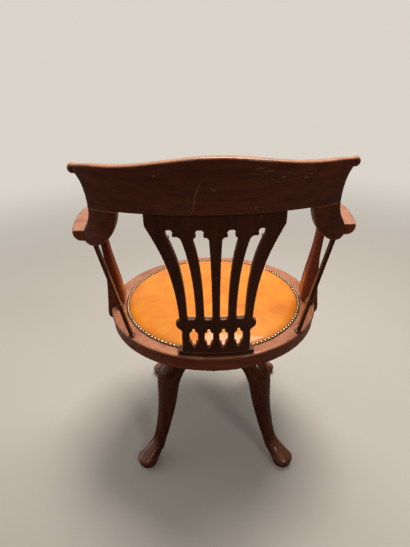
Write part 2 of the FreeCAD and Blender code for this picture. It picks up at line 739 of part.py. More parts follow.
# The upholstery: webbing, hessian, stuffing, leather and nails

def build_webbing():
    """Jute straps each way, with the front-to-back ones lying on the others."""
    base = size("seat_height") - size("rebate_depth")
    thick = size("web_thickness")
    reach = size("rebate_radius")
    count = int(size("web_count"))
    for name, level in (("across", 0), ("lengthwise", 1)):
        low = base + level * thick
        trim = Part.makeCylinder(reach - 1, thick, Vector(0, 0, low))
        straps = []
        for index in range(count):
            middle = (index - (count - 1) / 2) * size("web_pitch")
            half = size("web_width") / 2
            low_corner = (-reach, middle - half, low) if level == 0 else (middle - half, -reach, low)
            high_corner = (reach, middle + half, low + thick) if level == 0 else (
                middle + half, reach, low + thick)
            straps.append(box_between(low_corner, high_corner).common(trim).Solids[0])
        feature("webbing_" + name, Part.makeCompound(straps))


def dome(radius, base, rise, edge):
    """The stuffed form: flat underneath, drawn in at its edge and crowned in the middle."""
    top = base + rise
    shoulder = curve_through([
        (radius, 0, base + edge),
        (0.93 * radius, 0, base + edge + 0.20 * (rise - edge)),
        (0.78 * radius, 0, base + edge + 0.50 * (rise - edge)),
        (0.52 * radius, 0, base + edge + 0.80 * (rise - edge)),
        (0.26 * radius, 0, base + edge + 0.95 * (rise - edge)),
        (0, 0, top),
    ])
    lines = [
        Part.LineSegment(Vector(0, 0, top), Vector(0, 0, base)).toShape(),
        Part.LineSegment(Vector(0, 0, base), Vector(radius, 0, base)).toShape(),
        Part.LineSegment(Vector(radius, 0, base), Vector(radius, 0, base + edge)).toShape(),
    ]
    return Part.Face(Part.Wire([shoulder] + lines)).revolve(Vector(0, 0, 0), Vector(0, 0, 1), 360)


def build_upholstery():
    top = size("seat_height")
    canvas_low = top - size("rebate_depth") + 2 * size("web_thickness")
    canvas = Part.makeCylinder(size("rebate_radius") - 1, size("canvas_thickness"), Vector(0, 0, canvas_low))
    feature("seat_hessian", canvas)
    pad_radius = size("rebate_radius") - 1
    stuffing = dome(pad_radius, canvas_low + size("canvas_thickness"), size("seat_crown"), 1.2)
    feature("seat_stuffing", stuffing)
    thick = size("leather_thickness")
    cover_radius = size("nail_ring") + size("leather_margin")
    skirt = Part.makeCylinder(cover_radius, thick, Vector(0, 0, top))
    skin = dome(pad_radius + thick, top, size("seat_crown") + thick, 1.2 + thick)
    leather = drilled(skirt.fuse(skin), [stuffing] + nail_shanks(size("hole_gap")))
    feature("leather_cover", leather)
    nails = []
    head_radius = size("nail_head")
    rise = size("nail_rise")
    ball = (head_radius ** 2 + rise ** 2) / (2 * rise)
    for shank in nail_shanks():
        centre = shank.BoundBox.Center
        level = top + thick
        cap = Part.makeSphere(ball, Vector(centre.x, centre.y, level + rise - ball))
        slab = box_between((centre.x - 9, centre.y - 9, level), (centre.x + 9, centre.y + 9, level + 9))
        nails.append(cap.common(slab).fuse(shank).Solids[0])
    feature("upholstery_nails", Part.makeCompound(nails))


# The back: crest rail and ears from one curved board, the pierced splat and its shoe

def ease(share):
    share = max(0.0, min(1.0, share))
    return share * share * (3 - 2 * share)


def rail_back(x, z):
    """Y of the back face of the crest rail and its ears."""
    share = max(0.0, (z - size("crest_bottom")) / size("crest_height"))
    radius = size("crest_radius")
    y = size("crest_y") + size("crest_rake") * share - (radius - math.sqrt(radius ** 2 - x ** 2))
    beyond = max(0.0, abs(x) - size("crest_dip")) / 60
    return y - size("end_bend") * beyond ** 2 * (1 - 0.6 * min(1.0, share))


def rail_thickness(x):
    """The rail thins towards its rolled tips."""
    share = (abs(x) - size("crest_dip")) / (size("tip_x") - size("crest_dip"))
    return size("board") * (1 - 0.28 * ease(share))


def rail_normal(x):
    slope = rail_back(x + 0.5, size("crest_bottom")) - rail_back(x - 0.5, size("crest_bottom"))
    return Vector(-slope, 1, 0).normalize()


def ear_wire(z):
    """One level of the board that the ears are cut from."""
    reach = size("ear_outer") + 26
    back = []
    front = []
    for stop in (-1, -0.93, -0.86, -0.79, -0.7, -0.55, -0.3, 0, 0.3, 0.55, 0.7, 0.79, 0.86, 0.93, 1):
        x = stop * reach
        spot = Vector(x, rail_back(x, z), z)
        back.append(spot)
        front.append(spot - rail_normal(x) * rail_thickness(x))
    front.reverse()
    edges = [curve_through(back), Part.LineSegment(back[-1], front[0]).toShape(),
             curve_through(front), Part.LineSegment(front[-1], back[0]).toShape()]
    return Part.Wire(edges)


def ear_board():
    low = size("ear_bottom") - 14
    seam = size("crest_bottom")
    return loft([ear_wire(low), ear_wire((low + seam) / 2), ear_wire(seam)])


def rail_top(x):
    """Height of the top edge: an arch, a dip and a slight rise to each tip."""
    dip = size("crest_dip")
    top = size("crest_bottom") + size("crest_height")
    if abs(x) < dip:
        return top - size("crest_arch") * (1 - math.cos(math.pi * x / dip)) / 2
    share = (abs(x) - dip) / (size("tip_x") - dip)
    low = top - size("crest_arch")
    return low + (size("tip_z") + size("tip_radius") - 1 - low) * share ** 2


def rail_section(x):
    """One upright section of the rail, with its top edges rounded over."""
    normal = rail_normal(x)
    bottom = size("crest_bottom")
    return rounded_wire(-rail_thickness(x), 0, bottom, rail_top(x), [2.5, 1.5, 6, 9],
                        lambda a, b: Vector(x, rail_back(x, b), b) + normal * a)


def crest_rail():
    """The rail, its hollow ends and a rolled tip at each end."""
    tx, tz, tr = size("tip_x"), size("tip_z"), size("tip_radius")
    dip = size("crest_dip")
    stops = [0.25 * dip, 0.5 * dip, 0.75 * dip, 0.95 * dip]
    stops += [dip + 0.4 * (tx - dip), dip + 0.75 * (tx - dip), tx + 2, tx + 14]
    stations = [-x for x in reversed(stops)] + [0] + stops
    rail = loft([rail_section(x) for x in stations]).common(front_view(crest_outline()))
    middle = rail_back(tx, tz) - 0.5 * rail_thickness(tx)
    for side in (1, -1):
        rail = rail.fuse(Part.makeSphere(tr, Vector(side * tx, middle, tz)))
    return rail


def front_view(edges):
    """Extrude an outline drawn in the XZ plane through the whole depth of the chair."""
    return Part.Face(Part.Wire(edges)).extrude(Vector(0, -600, 0))


def line(a, b):
    return Part.LineSegment(Vector(a[0], 300, a[1]), Vector(b[0], 300, b[1])).toShape()


def spline(points):
    return curve_through([(x, 300, z) for x, z in points])


def crest_outline():
    """The rail seen from the front: straight below, with hollow ends from the waist to the tips."""
    bottom = size("crest_bottom")
    high = bottom + 1.5 * size("crest_height")
    tx, tz, tr = size("tip_x"), size("tip_z"), size("tip_radius")
    waist = size("waist")
    leave = (tx - 0.5 * tr, tz - 0.8 * tr)
    end = [
        spline([(waist, bottom), (waist - 0.9, bottom + 19), (waist + 1, bottom + 37), (waist + 5, tz - 22),
                leave]),
        line(leave, (tx + 1, tz - 0.4 * tr)),
        line((tx + 1, tz - 0.4 * tr), (tx + 1, high)),
    ]
    other = [edge.mirror(Vector(0, 0, 0), Vector(1, 0, 0)) for edge in end]
    return end + [line((tx + 1, high), (-tx - 1, high))] + other[::-1] + [line((-waist, bottom), (waist, bottom))]


def ear_outline():
    """Left ear: hollow outside, a full rounded lobe below."""
    seam = size("crest_bottom")
    low = size("ear_bottom")
    inner = size("ear_inner")
    outer = size("ear_outer")
    waist = size("waist")
    hang = seam - low
    hollow = spline([(waist, seam), (waist + 2.5, seam - 0.24 * hang), (waist + 11.5, seam - 0.48 * hang),
                     (outer - 2, seam - 0.70 * hang), (outer, seam - 0.84 * hang)])
    lobe = spline([(outer, seam - 0.84 * hang), (outer - 5.5, low + 3.8), (outer - 15, low),
                   (outer - 28, low + 2), (outer - 42, low + 8.5), (inner + 27, low + 19),
                   (inner + 16, low + 30), (inner + 8, low + 44), (inner + 2.5, low + 61), (inner, seam)])
    return [hollow, lobe, line((inner, seam), (waist, seam))]


def ear_dowels(gap=0.0):
    pins = []
    half = size("ear_dowel_length") / 2 + gap
    seam = size("crest_bottom")
    for side in (1, -1):
        for share in (0.3, 0.72):
            x = side * (size("ear_inner") + share * (size("waist") - size("ear_inner")))
            y = rail_back(x, seam) - 0.5 * rail_thickness(x)
            low_end = Vector(x, y, seam - half)
            pins.append(rod(size("ear_dowel_radius") + gap, low_end, Vector(x, y, seam + half)))
    return pins


def splat_back(x, z):
    """Y of the back face of the splat: bent to the shoe at its foot and to the rail at its head."""
    low = size("seat_height")
    share = (z - low) / (size("crest_bottom") - low)
    sag_low = size("shoe_radius") - math.sqrt(size("shoe_radius") ** 2 - x ** 2)
    sag_high = size("crest_radius") - math.sqrt(size("crest_radius") ** 2 - x ** 2)
    head = size("crest_y") - (size("board") - size("splat_thickness")) / 2
    bow = 5 * math.sin(math.pi * max(0.0, min(1.0, share)))
    y = size("splat_foot_y") + (head - size("splat_foot_y")) * share + bow
    return y - sag_low * (1 - share) - sag_high * share


def splat_board():
    wires = []
    low = size("seat_height") + size("shoe_height") - size("splat_tenon")
    high = size("crest_bottom") + size("splat_tenon")
    for level in range(7):
        z = low + (high - low) * level / 6
        back = []
        front = []
        for step in range(-4, 5):
            x = step * 36
            slope = splat_back(x + 0.5, z) - splat_back(x - 0.5, z)
            normal = Vector(-slope, 1, 0).normalize()
            spot = Vector(x, splat_back(x, z), z)
            back.append(spot)
            front.append(spot - normal * size("splat_thickness"))
        front.reverse()
        wires.append(Part.Wire([curve_through(back), Part.LineSegment(back[-1], front[0]).toShape(),
                                curve_through(front), Part.LineSegment(front[-1], back[0]).toShape()]))
    return loft(wires)


def splat_outline():
    """Half outline from the foot up: straight foot, pointed lug, hollow flare and square head."""
    low = size("seat_height") + size("shoe_height") - size("splat_tenon")
    shoe_top = size("seat_height") + size("shoe_height")
    high = size("crest_bottom") + size("splat_tenon")
    foot = size("splat_waist")
    lug = size("splat_lug")
    head = size("splat_half_width")
    lug_z = shoe_top + 72
    rise = size("crest_bottom") - lug_z
    flare = [(foot + 3.5, lug_z + 18), (foot + 6, lug_z + 0.22 * rise),
             (foot + 14, lug_z + 0.43 * rise), (foot + 27, lug_z + 0.62 * rise),
             (foot + 44, lug_z + 0.78 * rise), (head - 1, lug_z + 0.89 * rise)]
    half = [
        line((foot, low), (foot, shoe_top + 47)),
        spline([(foot, shoe_top + 47), (foot + 1.5, lug_z - 14), (lug - 3, lug_z - 8), (lug, lug_z)]),
        spline([(lug, lug_z), (lug - 2.5, lug_z + 8), (foot + 4, lug_z + 12), (foot + 3.5, lug_z + 18)]),
        spline(flare),
        line((head - 1, lug_z + 0.89 * rise), (head, lug_z + 0.905 * rise)),
        line((head, lug_z + 0.905 * rise), (head, high)),
    ]
    other = [edge.mirror(Vector(0, 0, 0), Vector(1, 0, 0)) for edge in half]
    return half + [line((head, high), (-head, high))] + other[::-1] + [line((-foot, low), (foot, low))]


def splat_slots():
    """Four tall slots with a bulb over shoulders, and four small openings below the band."""
    shoe_top = size("seat_height") + size("shoe_height")
    sill = shoe_top + 89
    head = size("crest_bottom") - 31
    cuts = []
    # inner and outer edge of a slot at its sill, its shoulder and its bulb
    slots = [((8, 24), (12.5, 41.5), (21.5, 37.5)), ((42, 59), (64.5, 88), (79.5, 93))]
    for side in (1, -1):
        for (sill_in, sill_out), (wide_in, wide_out), (bulb_in, bulb_out) in slots:
            shoulder = head - 19
            neck = head - 14
            middle = (bulb_in + bulb_out) / 2
            inner = spline([(sill_in, sill),
                            (sill_in + 0.10 * (wide_in - sill_in), sill + 0.35 * (head - sill)),
                            (sill_in + 0.52 * (wide_in - sill_in), sill + 0.70 * (head - sill)),
                            (wide_in, shoulder)])
            outer = spline([(wide_out, shoulder),
                            (sill_out + 0.50 * (wide_out - sill_out), sill + 0.70 * (head - sill)),
                            (sill_out + 0.10 * (wide_out - sill_out), sill + 0.35 * (head - sill)),
                            (sill_out, sill)])
            left_shoulder = spline([(wide_in, shoulder), (wide_in + 3, neck - 1.2), (bulb_in - 0.5, neck)])
            left_bulb = spline([(bulb_in - 0.5, neck), (bulb_in + 1.2, head - 9.5), (bulb_in, head - 6),
                                (bulb_in + 2.2, head - 1.2), (middle, head)])
            right_bulb = spline([(middle, head), (bulb_out - 2.2, head - 1.2), (bulb_out, head - 6),
                                 (bulb_out - 1.2, head - 9.5), (bulb_out + 0.5, neck)])
            right_shoulder = spline([(bulb_out + 0.5, neck), (wide_out - 2, neck - 1.2),
                                     (wide_out, shoulder)])
            edges = [inner, left_shoulder, left_bulb, right_bulb, right_shoulder, outer,
                     line((sill_out, sill), (sill_in, sill))]
            cuts.append(on_side(front_view(edges), side))
    low = shoe_top + 10
    high = shoe_top + 64
    for side in (1, -1):
        for middle in (15.5, 47.5):
            half = 8.6
            # one half of an opening: round head, narrow neck, shoulder, body, cusp and pointed foot
            head_run = [(0, high), (2.6, high - 1.2), (3.4, high - 3.6)]
            neck_run = [(3.4, high - 3.6), (2.9, high - 7), (5.2, high - 9.2), (half, high - 15)]
            foot_run = [(half, low + 21), (6.6, low + 16.4), (3.2, low + 13.5)]
            drop_run = [(3.2, low + 13.5), (4.2, low + 9.5), (2.2, low + 4), (0, low)]
            edges = []
            for flip in (1, -1):
                turned = [[(middle + flip * x, z) for x, z in run]
                          for run in (head_run, neck_run, foot_run, drop_run)]
                run = [spline(turned[0]), spline(turned[1]), line(turned[1][-1], turned[2][0]),
                       spline(turned[2]), spline(turned[3])]
                edges += run
            cuts.append(on_side(front_view(edges), side))
    return cuts


def splat_shape():
    board = splat_board().common(front_view(splat_outline()))
    return drilled(board, splat_slots() + shoe_screws(size("hole_gap")))


def shoe_screws(gap=0.0):
    low = size("seat_height") - size("ring_thickness") + 6
    screws = []
    for x in (-46, 46):
        y = splat_back(x, size("seat_height")) - size("splat_thickness") / 2 - 0.5
        length = size("shoe_screw_length")
        shank = Part.makeCylinder(size("screw_radius") * 0.8 + gap, length, Vector(x, y, low))
        head = Part.makeCylinder(size("screw_head") + gap, 3 if gap == 0 else 9,
                                 Vector(x, y, low - 3 if gap == 0 else low - 9))
        screws.append(shank.fuse(head))
    return screws


def shoe_shape(splat):
    """Curved block on the ring that holds the foot of the splat."""
    top = size("seat_height") + size("shoe_height")
    half = size("shoe_half_width")
    radius = size("shoe_radius")
    back = size("shoe_back")
    front = size("nail_ring") + size("nail_head") + 0.8
    sag = radius - math.sqrt(radius ** 2 - half ** 2)
    front_end = math.sqrt(front ** 2 - half ** 2)
    low = size("seat_height")
    edges = [
        Part.Arc(Vector(half, back - sag, low), Vector(0, back, low), Vector(-half, back - sag, low)).toShape(),
        Part.LineSegment(Vector(-half, back - sag, low), Vector(-half, front_end, low)).toShape(),
        Part.Arc(Vector(-half, front_end, low), Vector(0, front, low), Vector(half, front_end, low)).toShape(),
        Part.LineSegment(Vector(half, front_end, low), Vector(half, back - sag, low)).toShape(),
    ]
    block = Part.Face(Part.Wire(edges)).extrude(Vector(0, 0, top - low))
    rim = [edge for edge in block.Edges if edge.BoundBox.ZMin > top - 1]
    block = block.makeFillet(1.6, rim)
    return drilled(block, [splat] + shoe_screws(size("hole_gap")))


# The arms, their posts and the slim rear uprights

def arm_blank():
    """Left arm: bowed outwards, flat on top and rounded below, with a dropped nose in front."""
    back = size("arm_back")
    nose = -size("arm_front")
    run = back - nose
    top = size("arm_top")
    width = size("arm_width")
    reach = size("arm_reach")
    thick = size("arm_thickness")
    end = size("ear_outer") + size("arm_end")
    bow = reach - end
    # place along the arm from the back, outer edge, width, drop of the top, thickness
    stations = [
        (-0.02, end, width + 2, 0, thick),
        (0.13, end + 0.556 * bow, width + 1, 0, thick),
        (0.31, end + 0.911 * bow, width + 0.5, 0, thick),
        (0.50, reach, width, 0.5, thick),
        (0.67, reach - 2.8, width - 2, 2, thick),
        (0.80, reach - 8.0, width - 6, 4.5, thick),
        (0.90, reach - 14.5, width - 15, 7.5, thick - 1),
        (0.96, reach - 20.5, width - 27, 10, thick - 3),
        (1.00, reach - 28.0, width - 42, 12.5, thick - 7),
    ]
    wires = []
    for share, outer, wide, drop, tall in stations:
        y = back - share * run
        high = top - drop
        wires.append(rounded_wire(outer - wide, outer, high - tall, high, [11, 17, 4, 4],
                                  lambda a, b, y=y: Vector(a, y, b)))
    return loft(wires)


def arm_dowels(gap=0.0):
    """Two dowels from each arm into its ear."""
    half = size("arm_dowel_length") / 2 + gap
    z = size("arm_top") - size("arm_thickness") / 2
    pins = []
    for side in (1, -1):
        for x in (size("ear_outer") - 30, size("ear_outer") - 19):
            end = size("arm_back") - 2 + size("arm_dowel_bite") + gap
            pins.append(rod(size("arm_dowel_radius") + gap, Vector(side * x, end - 2 * half, z),
                            Vector(side * x, end, z)))
    return pins


def post_blank():
    """Left arm post: a shaped board that stands on the ring and laps down its side."""
    top = size("seat_height")
    inner = size("post_inner")
    outer = size("post_outer")
    depth = size("post_depth")
    head = size("arm_top") - size("arm_thickness") * 0.5
    rise = head - top
    # height as a share of the ring below its top, and of the post above it, inner edge, outer edge, depth
    stations = [
        (-1.0, inner + 10, outer - 1, 0.72 * depth),
        (-0.851, inner + 6, outer + 3, 0.84 * depth),
        (-0.426, inner + 4, outer + 4, 0.94 * depth),
        (0.0, inner + 4, outer + 2, depth),
        (0.03, inner + 2, outer + 1, depth),
        (0.075, inner, outer, depth),
        (0.16, inner + 2, outer - 2, 0.97 * depth),
        (0.26, inner + 6, outer - 3.5, 0.93 * depth),
        (0.36, inner + 11, outer - 4, 0.88 * depth),
        (0.47, inner + 17, outer - 4.5, 0.84 * depth),
        (0.60, inner + 23, outer - 1.5, 0.80 * depth),
        (0.72, inner + 26.5, outer, 0.78 * depth),
        (0.85, inner + 28, outer + 1.5, 0.80 * depth),
        (1.00, inner + 28, outer + 2.5, 0.86 * depth),
    ]
    wires = []
    for share, low_x, high_x, deep in stations:
        z = top + share * (size("ring_thickness") if share < 0 else rise)
        y = size("post_y")
        wires.append(rounded_wire(low_x, high_x, y - deep / 2, y + deep / 2, [9] * 4,
                                  lambda a, b, z=z: Vector(a, b, z)))
    return loft(wires)


def post_tenon(gap=0.0):
    x = (size("post_inner") + size("post_outer")) / 2 + 12
    low = size("arm_top") - size("arm_thickness") - 3
    return Part.makeCylinder(size("post_tenon") + gap, size("tenon_length") + gap, Vector(x, size("post_y"), low))


def post_screws(gap=0.0):
    """Two screws through the lap of each post into the ring, each under a wooden plug."""
    z = size("seat_height") - size("ring_thickness") / 2
    screws = []
    for side in (1, -1):
        for step in (-0.5, 0.5):
            start = Vector(size("ring_half_width") + 5, size("post_y") + step * size("screw_spacing"), z)
            shank = rod(size("screw_radius") + gap, start, start - Vector(size("screw_length"), 0, 0))
            head = rod(size("screw_head") + gap, start, start - Vector(3, 0, 0))
            screws.append(on_side(shank.fuse(head), side))
    return screws


def post_plugs():
    z = size("seat_height") - size("ring_thickness") / 2
    plugs = []
    for side in (1, -1):
        for step in (-0.5, 0.5):
            y = size("post_y") + step * size("screw_spacing")
            start = Vector(side * (size("ring_half_width") + 5), y, z)
            plugs.append(rod(size("screw_head"), start, start + Vector(side * 12, 0, 0)))
    return plugs


UPRIGHT_RUN = "(Sizes.upright_top_x - Sizes.upright_x)"
UPRIGHT_LEAN = "(Sizes.upright_top_y - Sizes.upright_y)"
UPRIGHT_RISE = "(Sizes.ear_bottom + 4 - Sizes.seat_height)"


def upright_length():
    run = size("upright_top_x") - size("upright_x")
    lean = size("upright_top_y") - size("upright_y")
    rise = size("ear_bottom") + 4 - size("seat_height")
    return Vector(run, lean, rise)


def square(sketch, side):
    half = "(%s) / 2" % side
    outline(sketch, [("-" + half, "-" + half), (half, "-" + half), (half, half), ("-" + half, half)])


def build_uprights():
    """Slim square uprights with a collar and a plinth, leaning out and back to the ears."""
    reach = upright_length()
    for name, side in SIDES:
        body = new_body("upright_blank_" + name)
        shaft = new_sketch(body)
        square(shaft, "Sizes.upright_side")
        lift(shaft, "-4 mm")
        pad(body, shaft, "sqrt(%s ^ 2 + %s ^ 2 + %s ^ 2) + 14" % (UPRIGHT_RUN, UPRIGHT_LEAN, UPRIGHT_RISE))
        high = "Sizes.collar_height"
        wide = size("upright_collar") / 2
        ledges = [
            ("-4 mm", high + " + 4", "Sizes.upright_collar", size("collar_height"), wide),
            ("Sizes.collar_place - " + high, high, "Sizes.upright_collar", size("collar_place"), wide),
            ("Sizes.collar_place", high, "Sizes.upright_collar - 2",
             size("collar_place") + size("collar_height"), wide - 1),
        ]
        for start, tall, width, level, half in ledges:
            doc.recompute()
            ledge = new_sketch(body)
            square(ledge, width)
            lift(ledge, start)
            step = pad(body, ledge, tall)
            doc.recompute()
            bevel = body.newObject("PartDesign::Chamfer", "Bevel")
            bevel.Base = (step, top_edges(body, level, half))
            bevel.setExpression("Size", "(%s - Sizes.upright_side) / 2 - 0.2" % width)
        turn = Rotation(Vector(0, 0, 1), Vector(side * reach.x, reach.y, reach.z))
        spot = Vector(side * size("upright_x"), size("upright_y") + axis_y, size("seat_height"))
        body.Placement = Placement(spot, turn)
        doc.recompute()
        stock = body.Shape.copy()
        stock.translate(Vector(0, -axis_y, 0))
        yield name, side, stock, spot, turn


def top_edges(body, level, half):
    """The outer edges of a square ledge at one level."""
    found = []
    for number, edge in enumerate(body.Shape.Edges, start=1):
        box = edge.BoundBox
        flat = abs(box.ZMin - level) < 0.01 and abs(box.ZMax - level) < 0.01
        outside = max(abs(box.XMin), abs(box.XMax), abs(box.YMin), abs(box.YMax)) > half - 0.01
        if flat and outside:
            found.append("Edge%d" % number)
    return found


def upright_tenons(side, gap=0.0):
    """Round tenons at both ends, along the line of the upright."""
    reach = upright_length()
    foot = Vector(side * size("upright_x"), size("upright_y"), size("seat_height"))
    direction = Vector(side * reach.x, reach.y, reach.z).normalize()
    radius = size("upright_tenon") + gap
    top = foot + Vector(side * reach.x, reach.y, reach.z)
    return [rod(radius, foot - direction * (14 + gap), foot + direction * 10),
            rod(radius, top - direction * 20, top + direction * (8 + gap))]


def build_back_and_arms():
    splat = splat_shape()
    board = ear_board()
    seat = box_between((-500, 0, size("ear_bottom") - 40), (500, size("arm_back") - 2, size("arm_top")))
    ears = {}
    arms = {}
    posts = {}
    gap = size("hole_gap")
    ring = ellipse_disc(0, size("seat_height") - size("ring_thickness"), size("seat_height"))
    for name, side in SIDES:
        blank = on_side(board.common(front_view(ear_outline())), side)
        ear = drilled(blank, [seat] + ear_dowels(gap) + arm_dowels(gap) + upright_tenons(side, gap))
        ears[name] = ear
        arm = drilled(on_side(arm_blank(), side), [ear, on_side(post_tenon(gap), side)] + arm_dowels(gap))
        arms[name] = arm
        stem = drilled(on_side(post_blank(), side), [on_side(arm_blank(), side), ring])
        tools = post_screws(gap) + [rod(size("screw_head") + gap, p.BoundBox.Center - Vector(8, 0, 0),
                                        p.BoundBox.Center + Vector(8, 0, 0)) for p in post_plugs()]
        posts[name] = drilled(stem.fuse(on_side(post_tenon(), side)), tools)
    for name, side, stock, spot, turn in build_uprights():
        below = Part.makeBox(900, 900, size("seat_height"), Vector(-450, -450, 0))
        trimmed = drilled(stock, [below, ears[name], arms[name]])
        feature("rear_upright_" + name, trimmed.fuse(upright_tenons(side)))
    crest = drilled(crest_rail(), [splat] + ear_dowels(gap))
    feature("crest_rail", crest)
    feature("splat", splat)
    feature("splat_shoe", shoe_shape(splat))
    plugs = []
    for name, side in SIDES:
        feature("ear_" + name, ears[name])
        feature("arm_" + name, arms[name])
        feature("arm_post_" + name, posts[name])
    for plug in post_plugs():
        side = "left" if plug.BoundBox.Center.x > 0 else "right"
        outside = plug.common(on_side(post_blank(), 1 if side == "left" else -1))
        plugs.append(outside.Solids[0])
    feature("post_plugs", Part.makeCompound(plugs))
    feature("post_screws", Part.makeCompound(post_screws()))
    feature("ear_dowels", Part.makeCompound(ear_dowels()))
    feature("arm_dowels", Part.makeCompound(arm_dowels()))
    feature("shoe_screws", Part.makeCompound(shoe_screws()))
    sockets = [tenon for side in (1, -1) for tenon in upright_tenons(side, gap)]
    return post_screws(gap) + shoe_screws(gap) + spider_screws(gap) + sockets


def check_and_write():
    """Stop on any failed object or bad shape, then write each sub-part to its own file."""
    doc.recompute()
    for obj in doc.Objects:
        if "Invalid" in obj.State or "Error" in obj.State:
            raise RuntimeError("%s (%s) is %s" % (obj.Name, obj.Label, obj.State))
    os.makedirs("parts", exist_ok=True)
    for label, obj in parts.items():
        shape = obj.Shape
        if shape.isNull() or not shape.isValid() or not shape.Solids:
            raise RuntimeError("%s has no valid solid" % label)
        print("%-24s %2d solids %9.0f mm3" % (label, len(shape.Solids), shape.Volume))
        shape.exportStep("parts/%s.step" % label)


build_legs()
build_foot_discs()
build_hub()
build_socket()
build_washer()
build_wheel()
build_stop()
build_spider()
build_ring(build_back_and_arms())
build_webbing()
build_upholstery()
check_and_write()
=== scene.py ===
import math

import bmesh
import bpy
import numpy as np
from mathutils import Matrix, Vector
from mathutils.bvhtree import BVHTree


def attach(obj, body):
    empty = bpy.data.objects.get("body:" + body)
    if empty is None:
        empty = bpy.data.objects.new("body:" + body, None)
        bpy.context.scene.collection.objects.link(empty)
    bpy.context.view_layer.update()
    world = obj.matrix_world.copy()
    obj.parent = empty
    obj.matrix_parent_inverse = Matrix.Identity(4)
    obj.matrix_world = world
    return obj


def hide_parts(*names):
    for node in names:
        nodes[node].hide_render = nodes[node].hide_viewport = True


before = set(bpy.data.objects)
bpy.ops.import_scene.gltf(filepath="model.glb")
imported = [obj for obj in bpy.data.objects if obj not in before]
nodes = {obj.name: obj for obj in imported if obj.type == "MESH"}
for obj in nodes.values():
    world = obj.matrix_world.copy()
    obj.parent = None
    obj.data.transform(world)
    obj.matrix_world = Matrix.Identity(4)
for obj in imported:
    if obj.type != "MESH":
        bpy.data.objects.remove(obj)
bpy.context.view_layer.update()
AXIS_Y = -0.0155


# Legs and feet. Four cabriole legs are sawn from solid mahogany, shaped by hand, and stand on small
# turned discs. The wood is stained dark red and French polished, and its edges are rubbed round.

class Number:
    """One number that varies over a surface. A formula on it adds its Math nodes."""

    def __init__(self, finish, socket):
        self.finish = finish
        self.socket = socket

    def maths(self, operation, first, second=0.0):
        return self.finish.make("Math", {"operation": operation}, {0: first, 1: second})

    def __add__(self, other):
        return self.maths("ADD", self, other)

    def __radd__(self, other):
        return self.maths("ADD", other, self)

    def __sub__(self, other):
        return self.maths("SUBTRACT", self, other)

    def __rsub__(self, other):
        return self.maths("SUBTRACT", other, self)

    def __mul__(self, other):
        return self.maths("MULTIPLY", self, other)

    def __rmul__(self, other):
        return self.maths("MULTIPLY", other, self)

    def __truediv__(self, other):
        return self.maths("DIVIDE", self, other)

    def __pow__(self, other):
        return self.maths("POWER", self, other)

    def __abs__(self):
        return self.maths("ABSOLUTE", self)

    def sine(self):
        return self.maths("SINE", self)

    def step(self, low, high):
        """0 below low, 1 above high, and a soft step between them. It falls where high is the lower."""
        return self.finish.make("MapRange", {"interpolation_type": "SMOOTHSTEP"},
                                {"Value": self, "From Min": low, "From Max": high})


class Finish:
    """A material, built from nodes on one Principled shader."""

    def __init__(self, name, constants=()):
        self.material = bpy.data.materials.new(name)
        self.material.use_nodes = True
        self.tree = self.material.node_tree
        self.shader = self.tree.nodes["Principled BSDF"]
        for socket, value in dict(constants).items():
            self.shader.inputs[socket].default_value = value

    def make(self, kind, settings=(), sockets=(), out=0):
        """Add a node: its type, its settings, and the value or link of each of its sockets."""
        node = self.tree.nodes.new("ShaderNode" + kind)
        for name, value in dict(settings).items():
            if name == "stops":
                ramp = node.color_ramp
                ramp.elements[0].position = value[0][0]
                ramp.elements[-1].position = value[-1][0]
                for place, colour in value[1:-1]:
                    ramp.elements.new(place)
                for element, (place, colour) in zip(ramp.elements, value):
                    element.color = (*colour, 1)
            else:
                setattr(node, name, value)
        for name, value in dict(sockets).items():
            socket = node.inputs[name]
            if isinstance(value, Number):
                self.tree.links.new(value.socket, socket)
            elif isinstance(value, tuple) and len(value) < len(socket.default_value):
                socket.default_value = (*value, 1)
            else:
                socket.default_value = value
        return Number(self, node.outputs[out])

    def place(self, scale=(1, 1, 1), shift=(0, 0, 0)):
        here = self.make("TexCoord", out="Object")
        return self.make("Mapping", {}, {"Vector": here, "Scale": scale, "Location": shift})

    def cloudy(self, where, scale, detail=2.0, warp=0.0, roughness=0.5):
        return self.make("TexNoise", {}, {"Vector": where, "Scale": scale, "Detail": detail,
                                          "Roughness": roughness, "Distortion": warp})

    def ramp(self, value, stops):
        return self.make("ValToRGB", {"stops": stops}, {0: value})

    def blend(self, share, first, second, way="MIX"):
        settings = {"data_type": "RGBA", "blend_type": way}
        return self.make("Mix", settings, {0: share, 6: first, 7: second}, out=2)

    def axes(self, where):
        return [self.make("SeparateXYZ", {}, {0: where}, out=axis) for axis in ("X", "Y", "Z")]

    def finish_with(self, colour, roughness, height, rise, coat=None, metal=None):
        """Join the colour, roughness, relief, coat and metal to the shader. Rise is in metres."""
        self.tree.links.new(colour.socket, self.shader.inputs["Base Color"])
        self.tree.links.new(roughness.socket, self.shader.inputs["Roughness"])
        relief = self.make("Bump", {}, {"Strength": 1.0, "Distance": rise, "Height": height})
        self.tree.links.new(relief.socket, self.shader.inputs["Normal"])
        if coat is not None:
            self.tree.links.new(coat.socket, self.shader.inputs["Coat Weight"])
        if metal is not None:
            self.tree.links.new(metal.socket, self.shader.inputs["Metallic"])
        return self.material


# the stain from the darkest figure of the wood to its brightest: place on the ramp, colour
STAIN = ((0.34, (0.090, 0.0165, 0.0060)), (0.45, (0.165, 0.0320, 0.0110)),
         (0.56, (0.250, 0.0540, 0.0180)), (0.70, (0.350, 0.0880, 0.0300)))


